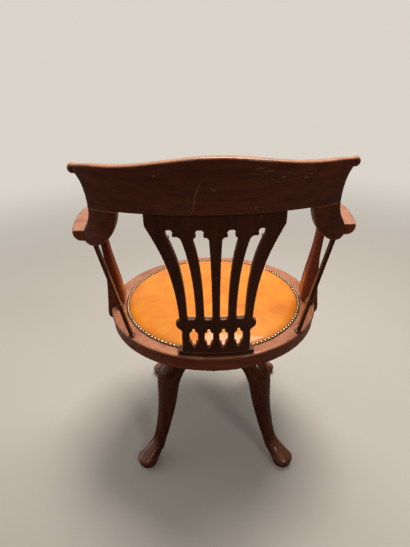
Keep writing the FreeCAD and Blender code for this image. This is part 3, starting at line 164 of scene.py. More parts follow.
def mahogany(name, grain, seed, light, top_light_share=0.25, marks=None):
    """French-polished mahogany with its grain along one axis: figure, streaks, pores, wear, and grime with
    painted shade in the hollows. The fourth argument scales the stain part by part, as painted light and
    shade. The fifth is how much paler the faces that look up are painted, as painted light from above."""
    wood = Finish(name, {"Coat Roughness": 0.06, "Specular IOR Level": 0.26})
    here = wood.place()
    away = (seed * 1.37, seed * -0.71, seed * 0.53)
    draw = [1.0, 1.0, 1.0]
    draw["xyz".index(grain)] = 0.05
    along = wood.place(tuple(draw), away)
    draw["xyz".index(grain)] = 0.14
    dashes = wood.place(tuple(draw), away)
    figure = wood.cloudy(along, 11.0, 3.0, 0.6)
    streaks = wood.cloudy(along, 85.0, 5.0, 0.3, 0.62)
    hairs = wood.cloudy(along, 520.0, 2.0)
    pores = wood.cloudy(dashes, 900.0, 1.0).step(0.60, 0.70)
    tone = figure * 0.50 + streaks * 0.42 + hairs * 0.08
    stain = wood.ramp(tone, [(share, tuple(light * part for part in colour)) for share, colour in STAIN])
    stain = wood.blend(pores * 0.18, stain, (0.050, 0.0090, 0.0035))
    bend = wood.make("Attribute", {"attribute_name": "bend"}, {}, out="Fac")
    patches = wood.cloudy(here, 34.0, 4.0).step(0.38, 0.66)
    rubbed = bend.step(0.10, 0.38) * (patches * 0.70 + 0.25)
    # hollows and corners are painted near black: grime, and painted shade
    hollow_grime_and_shade = (bend * -1.0).step(0.08, 0.40)
    # faces that look up are painted paler and redder: painted light from above
    upward = wood.axes(wood.make("TexCoord", out="Normal"))[2].step(0.30, 0.90)
    painted_top_light = upward * top_light_share * (streaks * 0.8 + patches * 0.4 + 0.3)
    colour = wood.blend(painted_top_light, stain, (0.72, 0.310, 0.165))
    colour = wood.blend(rubbed * 0.55, colour, (0.50, 0.185, 0.080))
    colour = wood.blend(hollow_grime_and_shade * 0.75, colour, (0.016, 0.0045, 0.0025))
    handled = wood.cloudy(here, 60.0, 4.0, 0.4)
    scuffs = wood.cloudy(wood.place((1, 1, 1), (0.3, 0.2, 0.1)), 260.0, 3.0).step(0.66, 0.74)
    roughness = handled * 0.20 + 0.17 + rubbed * 0.18 + scuffs * 0.16 + hollow_grime_and_shade * 0.22
    height = streaks * 0.10 + hairs * 0.05 - pores * 0.22 + wood.cloudy(here, 38.0, 2.0) * 0.9
    if marks is not None:
        mark = marks(wood, here)
        colour = wood.blend(mark * 0.8, colour, (0.62, 0.33, 0.19))
        roughness = roughness + mark * 0.25
        height = height - mark * 0.5
    coat = 0.38 - rubbed * 0.22 - scuffs * 0.2 - hollow_grime_and_shade * 0.2
    return wood.finish_with(colour, roughness, height, 0.00055, coat)


def new_piece(label, mesh):
    """An object of its own for a mesh, at the origin."""
    piece = bpy.data.objects.new(label, mesh)
    bpy.context.scene.collection.objects.link(piece)
    return piece


def mesh_of(shape, label):
    """Turn a worked shape into a mesh, and let the shape go."""
    mesh = bpy.data.meshes.new(label)
    shape.to_mesh(mesh)
    shape.free()
    return mesh


def freeze(piece):
    """Make the shape that the modifiers give the piece's own."""
    made = piece.evaluated_get(bpy.context.evaluated_depsgraph_get())
    mesh = bpy.data.meshes.new_from_object(made)
    piece.modifiers.clear()
    piece.data = mesh


def mark_edges(piece, passes=3, tight=230.0):
    """Store how sharply each point bends: up to 1 on a worn edge, down to -1 in a corner."""
    mesh = piece.data
    count = len(mesh.vertices)
    spots = np.empty(count * 3)
    mesh.vertices.foreach_get("co", spots)
    facing = np.empty(count * 3)
    mesh.vertices.foreach_get("normal", facing)
    pairs = np.empty(len(mesh.edges) * 2, dtype=np.int32)
    mesh.edges.foreach_get("vertices", pairs)
    spots, facing, (a, b) = spots.reshape(-1, 3), facing.reshape(-1, 3), pairs.reshape(-1, 2).T
    run = spots[b] - spots[a]
    reach = np.maximum((run ** 2).sum(1), 1e-12)
    turn_a = -(facing[a] * run).sum(1) / reach
    turn_b = (facing[b] * run).sum(1) / reach
    near = np.maximum(np.bincount(pairs, minlength=count), 1)
    bend = (np.bincount(a, turn_a, count) + np.bincount(b, turn_b, count)) / near
    for number in range(passes):
        bend = (bend + (np.bincount(a, bend[b], count) + np.bincount(b, bend[a], count)) / near) / 2
    layer = mesh.attributes.new("bend", "FLOAT", "POINT")
    layer.data.foreach_set("value", np.clip(bend / tight, -1, 1).astype(np.float32))


def worn_copy(label, names, voxel=0.0015, rubs=3):
    """A piece shaped like one or more CAD nodes, with its edges rubbed round."""
    shape = bmesh.new()
    for name in names:
        shape.from_mesh(nodes[name].data)
    bmesh.ops.remove_doubles(shape, verts=shape.verts, dist=1e-6)
    piece = new_piece(label, mesh_of(shape, label))
    grain = piece.modifiers.new("grain", "REMESH")
    grain.mode = "VOXEL"
    grain.voxel_size = voxel
    grain.use_smooth_shade = True
    rub = piece.modifiers.new("rub", "SMOOTH")
    rub.factor = 0.5
    rub.iterations = rubs
    freeze(piece)
    mark_edges(piece)
    return piece


def dress(piece, material, body, slot, *stands_for):
    """Give a piece its finish and its body, and hide the CAD nodes it stands for."""
    piece.data.materials.clear()
    piece.data.materials.append(material)
    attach(piece, body)
    if stands_for:
        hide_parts(*stands_for)
    return piece


# The legs' stain is painted darker, as painted shade under the seat.
for corner, seed in (("rear_left", 3.1), ("rear_right", 7.7), ("front_left", 12.9), ("front_right", 18.3)):
    material = mahogany("leg_mahogany_" + corner, "z", seed, 0.68)
    leg = worn_copy("leg_%s_worn" % corner, ["leg_" + corner], 0.0018)
    dress(leg, material, "base", "mahogany", "leg_" + corner)
    disc = worn_copy("foot_disc_%s_worn" % corner, ["foot_disc_" + corner], 0.0012)
    dress(disc, material, "base", "mahogany", "foot_disc_" + corner)


# Hub of the base. A turned block of mahogany takes the tops of the legs, with two beech dowels
# in each joint. The dowels are plain, dry wood.

def repaint(name, material):
    """A CAD node that keeps its shape gets its finish."""
    for slot in nodes[name].material_slots:
        slot.material = material
    if not nodes[name].material_slots:
        nodes[name].data.materials.append(material)


dress(worn_copy("base_hub_worn", ["base_hub"], 0.0015), mahogany("hub_mahogany", "z", 5.5, 0.7),
      "base", "mahogany", "base_hub")


def beech():
    wood = Finish("dowel_beech", {"Specular IOR Level": 0.3})
    along = wood.place((1, 1, 1), (0.1, 0.4, 0.2))
    flecks = wood.cloudy(along, 1400.0, 2.0).step(0.58, 0.66)
    tone = wood.cloudy(along, 160.0, 4.0, 0.5)
    colour = wood.ramp(tone, [(0.3, (0.44, 0.27, 0.13)), (0.7, (0.64, 0.45, 0.26))])
    colour = wood.blend(flecks * 0.5, colour, (0.30, 0.16, 0.07))
    return wood.finish_with(colour, tone * 0.2 + 0.55, tone - flecks * 0.4, 0.0002)


DOWEL = beech()
repaint("leg_dowels", DOWEL)


# Iron and steel of the swivel. A cast socket is screwed to the hub, and the hand wheel turns on it.
# A steel spindle runs through both, with a keyed washer between them and a stop at its foot.

def cast_iron():
    """Black japanned castings: pitted by the sand, dull in the hollows, brown with rust where chipped."""
    iron = Finish("japanned_iron", {"Specular IOR Level": 0.5, "Coat Roughness": 0.22})
    here = iron.place()
    sand = iron.cloudy(here, 420.0, 4.0)
    lumps = iron.cloudy(here, 70.0, 3.0)
    chips = iron.cloudy(here, 95.0, 5.0, 0.4, 0.65).step(0.62, 0.68)
    paint = iron.ramp(lumps, [(0.3, (0.012, 0.012, 0.013)), (0.7, (0.032, 0.031, 0.031))])
    rust = iron.ramp(sand, [(0.3, (0.070, 0.028, 0.012)), (0.7, (0.19, 0.085, 0.035))])
    colour = iron.blend(chips, paint, rust)
    height = sand * 0.5 + lumps * 0.8 - chips * 0.5
    return iron.finish_with(colour, sand * 0.25 + 0.32 + chips * 0.3, height, 0.0006,
                            0.45 - chips * 0.45)


def steel(name, dull):
    """Bright steel gone grey, with turning marks, a film of old oil and specks of rust."""
    metal = Finish(name, {"Specular IOR Level": 0.5})
    here = metal.place()
    rings = metal.cloudy(metal.place((1, 1, 22)), 60.0, 3.0)
    stains = metal.cloudy(here, 140.0, 4.0, 0.5)
    rust = metal.cloudy(here, 300.0, 4.0, 0.2, 0.6).step(0.64 - dull, 0.74 - dull)
    bright = metal.ramp(stains, [(0.3, (0.26, 0.25, 0.235)), (0.7, (0.50, 0.495, 0.48))])
    colour = metal.blend(rust, bright, (0.16, 0.075, 0.032))
    return metal.finish_with(colour, stains * 0.25 + 0.26 + rust * 0.35, rings + stains * 0.4, 0.00025,
                             metal=0.96 - rust * 0.7)


IRON = cast_iron()
STEEL = steel("spindle_steel", 0.0)
SCREW = steel("screw_steel", 0.05)
for name in ("base_socket", "hand_wheel", "seat_spider"):
    repaint(name, IRON)
for name in ("spindle", "keyed_washer", "stop_washer", "stop_pin", "spider_pin"):
    repaint(name, STEEL)
for name in ("socket_screws", "spider_screws", "post_screws", "shoe_screws"):
    repaint(name, SCREW)


# Seat ring. Four curved lengths of mahogany are dowelled end to end on the diagonals, and the nosing
# and the band below it are worked round the whole ring, so the joints show as hair lines.

RING_QUARTERS = (("left", 0, "y", 21.4), ("back", 90, "x", 25.0), ("right", 180, "y", 31.7),
                 ("front", 270, "x", 36.2))


def ring_top_rubs_and_sheen(wood, here):
    """Pale streaks on the top of the ring: rubs where it was knocked and polished thin, and painted sheen."""
    x, y, z = wood.axes(here)
    top = z.step(0.4195, 0.4208)
    streaky = wood.cloudy(wood.place((1, 0.25, 1), (0.7, 0.3, 0)), 240.0, 3.0).step(0.64, 0.72)
    return top * streaky * 0.5


whole_ring = worn_copy("seat_ring_whole", ["seat_ring_" + quarter[0] for quarter in RING_QUARTERS], 0.0016)
# The ring's stain is painted paler: painted light on it, and fading.
for name, middle, grain, seed in RING_QUARTERS:
    shape = bmesh.new()
    shape.from_mesh(whole_ring.data)
    for side in (1, -1):
        angle = math.radians(middle + side * 45)
        outward = (-side * math.sin(angle), side * math.cos(angle), 0)
        everything = shape.verts[:] + shape.edges[:] + shape.faces[:]
        cut = bmesh.ops.bisect_plane(shape, geom=everything, dist=1e-7, plane_co=(0, AXIS_Y, 0),
                                     plane_no=outward, clear_outer=True)
        # the first cut leaves half the ring, and the second the quarter between both planes
        rim = [edge for edge in cut["geom_cut"] if isinstance(edge, bmesh.types.BMEdge)]
        bmesh.ops.holes_fill(shape, edges=rim, sides=0)
    quarter = new_piece("seat_ring_%s_worn" % name, mesh_of(shape, "seat_ring_" + name))
    dress(quarter, mahogany("ring_mahogany_" + name, grain, seed, 1.35, 0.60, ring_top_rubs_and_sheen), "seat", "mahogany",
          "seat_ring_" + name)
bpy.data.objects.remove(whole_ring)
repaint("ring_dowels", DOWEL)


# Webbing and hessian. Jute straps 54 mm wide are woven over and under each other across the opening,
# and an open hessian cloth lies on them. Both show from below.

def jute():
    """Herringbone jute webbing."""
    cloth = Finish("jute_webbing", {"Specular IOR Level": 0.15, "Sheen Weight": 0.2})
    x, y, z = cloth.axes(cloth.place())
    warp = (x * 2400.0).sine() * (y * 2400.0).sine()
    twill = ((x + abs((y * 260.0).sine()) * 0.002) * 1500.0).sine()
    hairs = cloth.cloudy(cloth.place(), 900.0, 3.0)
    tone = warp * 0.2 + twill * 0.15 + hairs * 0.6 + 0.2
    colour = cloth.ramp(tone, [(0.25, (0.20, 0.135, 0.070)), (0.75, (0.50, 0.385, 0.225))])
    return cloth.finish_with(colour, hairs * 0.1 + 0.82, warp * 0.5 + twill * 0.4 + hairs * 0.4, 0.0005)


def hessian():
    cloth = Finish("hessian", {"Specular IOR Level": 0.12, "Sheen Weight": 0.15})
    x, y, z = cloth.axes(cloth.place())
    threads = (x * 3000.0).sine() * 0.5 + (y * 3000.0).sine() * 0.5
    # the gaps of the open weave are painted dark: painted shade seen through them
    weave_gaps_painted_dark = (abs((x * 1500.0).sine()) * abs((y * 1500.0).sine())).step(0.72, 0.9)
    slubs = cloth.cloudy(cloth.place((1, 8, 1)), 160.0, 3.0)
    colour = cloth.ramp(slubs, [(0.3, (0.27, 0.19, 0.10)), (0.7, (0.52, 0.41, 0.25))])
    colour = cloth.blend(weave_gaps_painted_dark * 0.8, colour, (0.035, 0.024, 0.014))
    return cloth.finish_with(colour, slubs * 0.1 + 0.85, threads * 0.4 - weave_gaps_painted_dark + slubs * 0.4, 0.0005)


def sheet_piece(label, columns, rows, point, thick):
    """A sheet of cloth from a formula for its points, given a thickness."""
    spots = [point(i / columns, j / rows) for j in range(rows + 1) for i in range(columns + 1)]
    wide = columns + 1
    faces = [(j * wide + i, j * wide + i + 1, (j + 1) * wide + i + 1, (j + 1) * wide + i)
             for j in range(rows) for i in range(columns)]
    mesh = bpy.data.meshes.new(label)
    mesh.from_pydata(spots, [], faces)
    piece = new_piece(label, mesh)
    wall = piece.modifiers.new("thickness", "SOLIDIFY")
    wall.thickness = thick
    wall.offset = 0
    freeze(piece)
    for face in piece.data.polygons:
        face.use_smooth = True
    return piece


WEB_PITCH = 0.092
WEB_WIDTH = 0.054
WEB_REACH = 0.219
JUTE = jute()
for way, node in (("across", "webbing_across"), ("lengthwise", "webbing_lengthwise")):
    straps = []
    for index in range(4):
        offset = (index - 1.5) * WEB_PITCH

        def strap_point(u, v, way=way, index=index, offset=offset):
            reach = math.sqrt(WEB_REACH ** 2 - (abs(offset) + WEB_WIDTH / 2) ** 2)
            run = (2 * u - 1) * reach
            edge = 0.0006 * math.sin(90 * run + index)
            side = offset + (v - 0.5) * WEB_WIDTH + edge
            over = math.cos(math.pi * (run / WEB_PITCH + 1.5 + index))
            turn = 1 if way == "across" else -1
            height = 0.4185 + 0.00065 * turn * over
            return (run, side + AXIS_Y, height) if way == "across" else (side, run + AXIS_Y, height)

        straps.append(sheet_piece("strap_%s_%d" % (way, index), 90, 8, strap_point, 0.0012))
    shape = bmesh.new()
    for strap in straps:
        shape.from_mesh(strap.data)
        bpy.data.objects.remove(strap)
    bmesh.ops.recalc_face_normals(shape, faces=shape.faces)
    woven = new_piece(node + "_woven", mesh_of(shape, node))
    dress(woven, JUTE, "seat", "jute", node)


def cloth_disc(u, v):
    """The hessian lies flat on the straps and dips a little between them."""
    reach = 0.2195 * (1 - v) + 0.0005
    angle = 2 * math.pi * u
    x, y = reach * math.cos(angle), reach * math.sin(angle)
    dip = math.cos(2 * math.pi * (x / WEB_PITCH + 0.5)) + math.cos(2 * math.pi * (y / WEB_PITCH + 0.5))
    return x, y + AXIS_Y, 0.4204 + 0.0001 * dip


base_cloth = sheet_piece("seat_hessian_laid", 160, 48, cloth_disc, 0.0008)
shape = bmesh.new()
shape.from_mesh(base_cloth.data)
bmesh.ops.remove_doubles(shape, verts=shape.verts, dist=1e-5)
bmesh.ops.recalc_face_normals(shape, faces=shape.faces)
shape.to_mesh(base_cloth.data)
shape.free()
dress(base_cloth, hessian(), "seat", "hessian", "seat_hessian")


# Seat cover. One hide is drawn over the horsehair and nailed through its edge, so it is crowned in the
# middle, drawn in at the edge, and puckered a little between the nails.

NAIL_COUNT = 132
NAIL_RING = 0.2275
SEAT_TOP = 0.421
HIDE_TOP = 0.4228
HIDE_EDGE = 0.2305
PAD_EDGE = 0.222
CLOTH_FRAMES = 20


def leather():
    """Glazed orange hide: fine grain, cloudy dye, painted reflections, dirt and painted shade by the nails.
    """
    hide = Finish("seat_leather", {"Coat Roughness": 0.06, "Specular IOR Level": 0.3})
    here = hide.place()
    clouds = hide.cloudy(here, 9.0, 3.0, 1.4)
    dye = hide.cloudy(here, 38.0, 4.0, 0.8)
    cells = hide.make("TexVoronoi", {"feature": "DISTANCE_TO_EDGE"}, {"Vector": here, "Scale": 620.0})
    creases = cells.step(0.02, 0.16)
    fine = hide.cloudy(here, 1500.0, 2.0)
    tone = clouds * 0.6 + dye * 0.4
    colour = hide.ramp(tone, [(0.30, (0.84, 0.200, 0.002)), (0.50, (0.94, 0.275, 0.004)),
                              (0.70, (0.99, 0.345, 0.010))])
    # paler swirls painted into the hide's colour: painted reflections in its glaze
    painted_reflection_swirls = hide.cloudy(here, 6.5, 2.0, 2.2).step(0.50, 0.54)
    colour = hide.blend(painted_reflection_swirls * 0.42, colour, (1.0, 0.38, 0.012))
    x, y, z = hide.axes(here)
    radius = (x * x + (y - AXIS_Y) * (y - AXIS_Y)) ** 0.5
    # towards the nails the hide is painted darker: dirt, and painted shade where it is drawn down
    edge = radius.step(0.205, 0.2225)
    colour = hide.blend(edge * 0.35, colour, (0.66, 0.150, 0.004))
    # a narrow near-black band under the nail heads: painted shade
    colour = hide.blend(radius.step(0.2215, 0.2245) * 0.75, colour, (0.16, 0.045, 0.010))
    colour = hide.blend((1.0 - creases) * 0.18, colour, (0.55, 0.10, 0.005))
    roughness = 0.24 + clouds * 0.16 + (1.0 - creases) * 0.10
    height = creases * 0.35 + fine * 0.10 + hide.cloudy(here, 55.0, 2.0) * 0.8
    return hide.finish_with(colour, roughness, height, 0.00022, 0.35 - edge * 0.15)


def cast_heights(tree, radii, angle):
    """The height of a surface under each of these radii, along one direction from the swivel axis."""
    found = []
    for radius in radii:
        start = Vector((radius * math.cos(angle), AXIS_Y + radius * math.sin(angle), 0.6))
        hit = tree.ray_cast(start, Vector((0, 0, -1)))[0]
        found.append(hit.z if hit else HIDE_TOP)
    return np.array(found)


def surface_of(mesh):
    return BVHTree.FromPolygons([v.co.copy() for v in mesh.vertices],
                                [tuple(p.vertices) for p in mesh.polygons])


def dome_mesh(label, radii, heights, segments, low):
    """A closed form: rings of points at these radii and heights, over a flat underside."""
    spots = [(0.0, AXIS_Y, float(heights[0].mean()))]
    for radius, ring in zip(radii[1:], heights[1:]):
        for number in range(segments):
            angle = 2 * math.pi * number / segments
            spots.append((radius * math.cos(angle), AXIS_Y + radius * math.sin(angle), float(ring[number])))
    faces = [(0, 1 + n, 1 + (n + 1) % segments) for n in range(segments)]
    rings = len(radii) - 1
    for ring in range(rings - 1):
        for n in range(segments):
            m = (n + 1) % segments
            a, b = 1 + ring * segments, 1 + (ring + 1) * segments
            faces.append((a + n, b + n, b + m, a + m))
    last = 1 + (rings - 1) * segments
    base = len(spots)
    for n in range(segments):
        x, y, z = spots[last + n]
        spots.append((x, y, low))
    for n in range(segments):
        m = (n + 1) % segments
        faces.append((last + n, base + n, base + m, last + m))
    under = len(spots)
    spots.append((0.0, AXIS_Y, low))
    faces += [(under, base + (n + 1) % segments, base + n) for n in range(segments)]
    mesh = bpy.data.meshes.new(label)
    mesh.from_pydata(spots, [], faces)
    return new_piece(label, mesh)


def stuffed(profile, cap=0.005):
    """Let the stuffing press the cover up: a cloth under pressure, nailed down at its edge."""
    radii = np.linspace(0, PAD_EDGE, 26)
    heights = np.repeat((SEAT_TOP + (np.interp(radii, *profile) - SEAT_TOP) * 0.90)[:, None], 72, axis=1)
    pad = dome_mesh("stuffing_under_pressure", radii, heights, 72, 0.4212)
    grid = pad.modifiers.new("grid", "REMESH")
    grid.mode = "VOXEL"
    grid.voxel_size = 0.005
    freeze(pad)
    start = np.array([v.co for v in pad.data.vertices])
    held = pad.vertex_groups.new(name="nailed")
    low = [i for i, spot in enumerate(start)
           if spot[2] < 0.4245 or math.hypot(spot[0], spot[1] - AXIS_Y) > 0.217]
    held.add(low, 1.0, "REPLACE")
    cloth = pad.modifiers.new("fill", "CLOTH")
    cloth.settings.quality = 6
    cloth.settings.mass = 0.25
    cloth.settings.tension_stiffness = 40
    cloth.settings.compression_stiffness = 40
    cloth.settings.bending_stiffness = 6
    cloth.settings.use_pressure = True
    cloth.settings.uniform_pressure_force = 4
    cloth.settings.vertex_group_mass = "nailed"
    cloth.settings.effector_weights.gravity = 0
    for moment in range(1, CLOTH_FRAMES + 1):
        bpy.context.scene.frame_set(moment)
    freeze(pad)
    bpy.context.scene.frame_set(1)
    spots = np.array([v.co for v in pad.data.vertices])
    move = spots - start
    far = np.maximum(np.linalg.norm(move, axis=1), 1e-9)
    spots = start + move * np.minimum(1, cap / far)[:, None]
    pad.data.vertices.foreach_set("co", spots.ravel())
    tree = surface_of(pad.data)
    bpy.data.objects.remove(pad)
    return tree


cover_tree = surface_of(nodes["leather_cover"].data)
between_nails = math.pi / NAIL_COUNT
profile_radii = np.linspace(0, HIDE_EDGE, 90)
profile = (profile_radii, cast_heights(cover_tree, profile_radii, between_nails))
segments = NAIL_COUNT * 2
radii = np.concatenate([np.linspace(0, 0.196, 50), np.linspace(0.198, HIDE_EDGE, 27)])
angles = 2 * np.pi * np.arange(segments) / segments
heights = np.repeat(np.interp(radii, *profile)[:, None], segments, axis=1)
swollen = stuffed(profile)
coarse = np.stack([cast_heights(swollen, radii, angle) for angle in angles[::4]], axis=1)
coarse = np.repeat(coarse, 4, axis=1)
for number in range(6):
    coarse = (coarse + np.roll(coarse, 1, axis=1) + np.roll(coarse, -1, axis=1)) / 3
share = np.clip((0.214 - radii) / 0.030, 0, 1)[:, None]
share = share * share * (3 - 2 * share)
lift = np.clip(coarse - heights, -0.004, 0.004)
heights = heights + lift * share
# the sitter has pressed a shallow hollow, and the hide lies a little unevenly
flat_x = radii[:, None] * np.cos(angles)[None, :]
flat_y = radii[:, None] * np.sin(angles)[None, :]
inside = np.clip((0.205 - radii) / 0.06, 0, 1)[:, None]
heights = heights - inside * 0.0022 * np.exp(-((flat_x / 0.11) ** 2 + ((flat_y + 0.02) / 0.09) ** 2))
heights = heights + inside * 0.0005 * (np.sin(31 * flat_x + 1.3) * np.cos(27 * flat_y - 0.4)
                                       + 0.6 * np.sin(57 * flat_x - 43 * flat_y))
# between the nails the hide rises, and small pleats run inwards from it
band = np.exp(-((radii - 0.2262) / 0.0042) ** 2)[:, None]
pleats = np.exp(-((0.219 - radii) / 0.010) ** 2)[:, None] * (radii < 0.2262)[:, None]
wave = -np.cos(NAIL_COUNT * angles)[None, :]
uneven = (0.7 + 0.3 * np.sin(5 * angles + 0.5) * np.sin(17 * angles))[None, :]
heights = heights + band * wave * 0.00045 * uneven + pleats * wave * 0.00035 * uneven
cover = dome_mesh("seat_cover", radii, heights, segments, 0.4211)
for face in cover.data.polygons:
    face.use_smooth = True
dress(cover, leather(), "seat", "leather", "leather_cover", "seat_stuffing")


# Nails. One hundred and thirty-two domed brass nails stand close together round the edge of the hide,
# each driven by hand, so no two sit quite alike.

def brass():
    """Old brass heads: bright on top, dark low down with tarnish and painted shade where they meet the hide.
    """
    metal = Finish("nail_brass", {"Specular IOR Level": 0.5})
    here = metal.place()
    tarnish = metal.cloudy(here, 240.0, 3.0, 0.3)
    specks = metal.cloudy(here, 1300.0, 3.0).step(0.60, 0.72)
    x, y, z = metal.axes(here)
    # the low part of each head is painted near black: tarnish, and painted shade
    low = z.step(0.4251, 0.4237)
    colour = metal.ramp(tarnish, [(0.30, (0.26, 0.185, 0.110)), (0.62, (0.55, 0.44, 0.31))])
    colour = metal.blend(low * 0.95 + specks * 0.1, colour, (0.018, 0.009, 0.005))
    return metal.finish_with(colour, tarnish * 0.12 + 0.10 + specks * 0.2, tarnish + specks * 0.2, 0.00012,
                             metal=0.98 - specks * 0.2)


def nail_tree(material):
    """Geometry nodes: a ring of points, a domed nail on each, turned and shifted a little."""
    tree = bpy.data.node_groups.new("upholstery_nails", "GeometryNodeTree")
    face = tree.interface
    face.new_socket("Geometry", in_out="OUTPUT", socket_type="NodeSocketGeometry")
    inputs = (("Nail Count", "NodeSocketInt"), ("Ring Radius", "NodeSocketFloat"),
              ("Head Radius", "NodeSocketFloat"), ("Head Rise", "NodeSocketFloat"),
              ("Middle", "NodeSocketVector"), ("Unevenness", "NodeSocketFloat"))
    keys = {name: face.new_socket(name, in_out="INPUT", socket_type=kind).identifier for name, kind in inputs}

    def add(kind, links=(), **settings):
        node = tree.nodes.new(kind)
        for name, value in settings.items():
            setattr(node, name, value)
        for socket, source in dict(links).items():
            if isinstance(source, bpy.types.NodeSocket):
                tree.links.new(source, node.inputs[socket])
            else:
                node.inputs[socket].default_value = source
        return node

    given = add("NodeGroupInput").outputs
    ring = add("GeometryNodeMeshCircle", {"Vertices": given["Nail Count"], "Radius": given["Ring Radius"]})
    placed = add("GeometryNodeTransform", {"Geometry": ring.outputs["Mesh"], "Translation": given["Middle"]})
    ball = add("GeometryNodeMeshUVSphere", {"Segments": 12, "Rings": 8, "Radius": 1.0})
    spot = add("GeometryNodeInputPosition")
    parts = add("ShaderNodeSeparateXYZ", {0: spot.outputs[0]})
    flat = add("ShaderNodeMath", {0: parts.outputs["Z"], 1: -0.06}, operation="MAXIMUM")
    joined = add("ShaderNodeCombineXYZ", {0: parts.outputs["X"], 1: parts.outputs["Y"], 2: flat.outputs[0]})
    dome = add("GeometryNodeSetPosition", {"Geometry": ball.outputs["Mesh"], "Position": joined.outputs[0]})
    size = add("ShaderNodeCombineXYZ", {0: given["Head Radius"], 1: given["Head Radius"],
                                        2: given["Head Rise"]})
    head = add("GeometryNodeTransform", {"Geometry": dome.outputs["Geometry"], "Scale": size.outputs[0]})
    drop = add("ShaderNodeVectorMath", {0: (1.0, 1.0, 0.6), "Scale": given["Unevenness"]}, operation="SCALE")
    least = add("ShaderNodeVectorMath", {0: drop.outputs[0], "Scale": -1.0}, operation="SCALE")
    shift = add("FunctionNodeRandomValue", {"Min": least.outputs[0], "Max": drop.outputs[0], "Seed": 4},
                data_type="FLOAT_VECTOR")
    moved = add("GeometryNodeSetPosition", {"Geometry": placed.outputs["Geometry"],
                                            "Offset": shift.outputs[0]})
    tilt = add("FunctionNodeRandomValue", {"Min": (-0.07, -0.07, 0.0), "Max": (0.07, 0.07, 6.28), "Seed": 9},
               data_type="FLOAT_VECTOR")
    nails = add("GeometryNodeInstanceOnPoints", {"Points": moved.outputs["Geometry"],
                                                 "Instance": head.outputs["Geometry"],
                                                 "Rotation": tilt.outputs[0]})
    real = add("GeometryNodeRealizeInstances", {"Geometry": nails.outputs["Instances"]})
    smooth = add("GeometryNodeSetShadeSmooth", {"Geometry": real.outputs["Geometry"]})
    painted = add("GeometryNodeSetMaterial", {"Geometry": smooth.outputs["Geometry"], "Material": material})
    add("NodeGroupOutput", {"Geometry": painted.outputs["Geometry"]})
    return tree, keys


BRASS = brass()
nails = new_piece("nail_heads", bpy.data.meshes.new("nail_heads"))
ring_of_nails = nails.modifiers.new("nails", "NODES")
ring_of_nails.node_group, keys = nail_tree(BRASS)
for name, value in (("Nail Count", NAIL_COUNT), ("Ring Radius", NAIL_RING), ("Head Radius", 0.0044),
                    ("Head Rise", 0.0026), ("Middle", (0.0, AXIS_Y, 0.4229)), ("Unevenness", 0.00022)):
    ring_of_nails[keys[name]] = value
freeze(nails)
dress(nails, BRASS, "seat", "brass", "upholstery_nails")


# Uprights. Two slim square spindles of the same mahogany, each with a collar and a plinth, lean out
# from the ring to the ears. They are held by round tenons.

# The uprights' stain is painted darker, as painted shade.
for name, seed in (("left", 41.0), ("right", 44.6)):
    upright = worn_copy("rear_upright_%s_worn" % name, ["rear_upright_" + name], 0.0009, 2)
    dress(upright, mahogany("upright_mahogany_" + name, "z", seed, 0.40, 0.5), "seat", "mahogany",
          "rear_upright_" + name)


# Splat and shoe. The pierced splat is sawn from one curved board and stands in a shoe that is screwed
# to the ring. Its slots are cut square, so their edges are rubbed less than the others.

def splat_marks(wood, here):
    """Fine pale streaks down the block under the crest rail."""
    x, y, z = wood.axes(here)
    block = z.step(0.700, 0.730)
    return wood.cloudy(wood.place((1, 1, 0.03), (0.2, 0, 0)), 420.0, 3.0).step(0.60, 0.72) * block * 0.16


# The splat's and the shoe's stains are painted darker, as painted shade.
splat = worn_copy("splat_worn", ["splat"], 0.0013, 2)
dress(splat, mahogany("splat_mahogany", "z", 50.2, 0.42, 0.15, splat_marks), "seat", "mahogany", "splat")
shoe = worn_copy("splat_shoe_worn", ["splat_shoe"], 0.0010, 2)
dress(shoe, mahogany("shoe_mahogany", "x", 53.9, 0.25, 0.05), "seat", "mahogany", "splat_shoe")


# Crest rail and ears. The rail is bowed and hollowed at its ends, with a rolled tip at each, and an ear
# is dowelled under each end. A hair crack and old scratches show in the polish at the back.

def crest_marks(wood, here):
    """A hair crack down the back of the rail and a handful of scratches near its right end."""
    x, y, z = wood.axes(here)
    behind = y.step(0.224, 0.230)
    wander = wood.cloudy(wood.place((0, 0, 1), (0.4, 0.1, 0.2)), 75.0, 3.0) * 0.009
    crack = abs(x - 0.0310 + (z - 0.785) * 0.29 - wander).step(0.0008, 0.0002)
    crack = crack * z.step(0.753, 0.758) * z.step(0.822, 0.806)
    scratches = wood.cloudy(wood.place((0.16, 1, 1.6), (0.13, 0, 0.04)), 210.0, 2.0, 0.6).step(0.655, 0.70)
    region = (x * -1.0).step(0.060, 0.085) * (x * -1.0).step(0.205, 0.165) * z.step(0.800, 0.815)
    dents = wood.cloudy(wood.place((1, 1, 1), (0.5, 0.1, 0.3)), 90.0, 3.0).step(0.69, 0.73) * 0.35
    return (crack * 0.8 + scratches * region * 0.75 + dents) * behind


crest = worn_copy("crest_rail_worn", ["crest_rail"], 0.0015, 4)
dress(crest, mahogany("crest_mahogany", "x", 61.3, 0.85, 1.0, crest_marks), "seat", "mahogany", "crest_rail")
for name, seed in (("left", 64.0), ("right", 67.7)):
    ear = worn_copy("ear_%s_worn" % name, ["ear_" + name], 0.0013, 3)
    dress(ear, mahogany("ear_mahogany_" + name, "x", seed, 0.75, 0.5), "seat", "mahogany", "ear_" + name)
repaint("ear_dowels", DOWEL)


# Arms and posts. Each flat arm is shaped from one board, with a scrolled back end against the ear, and
# rests on a curved post that is screwed to the side of the ring. Wooden plugs cover the screws.

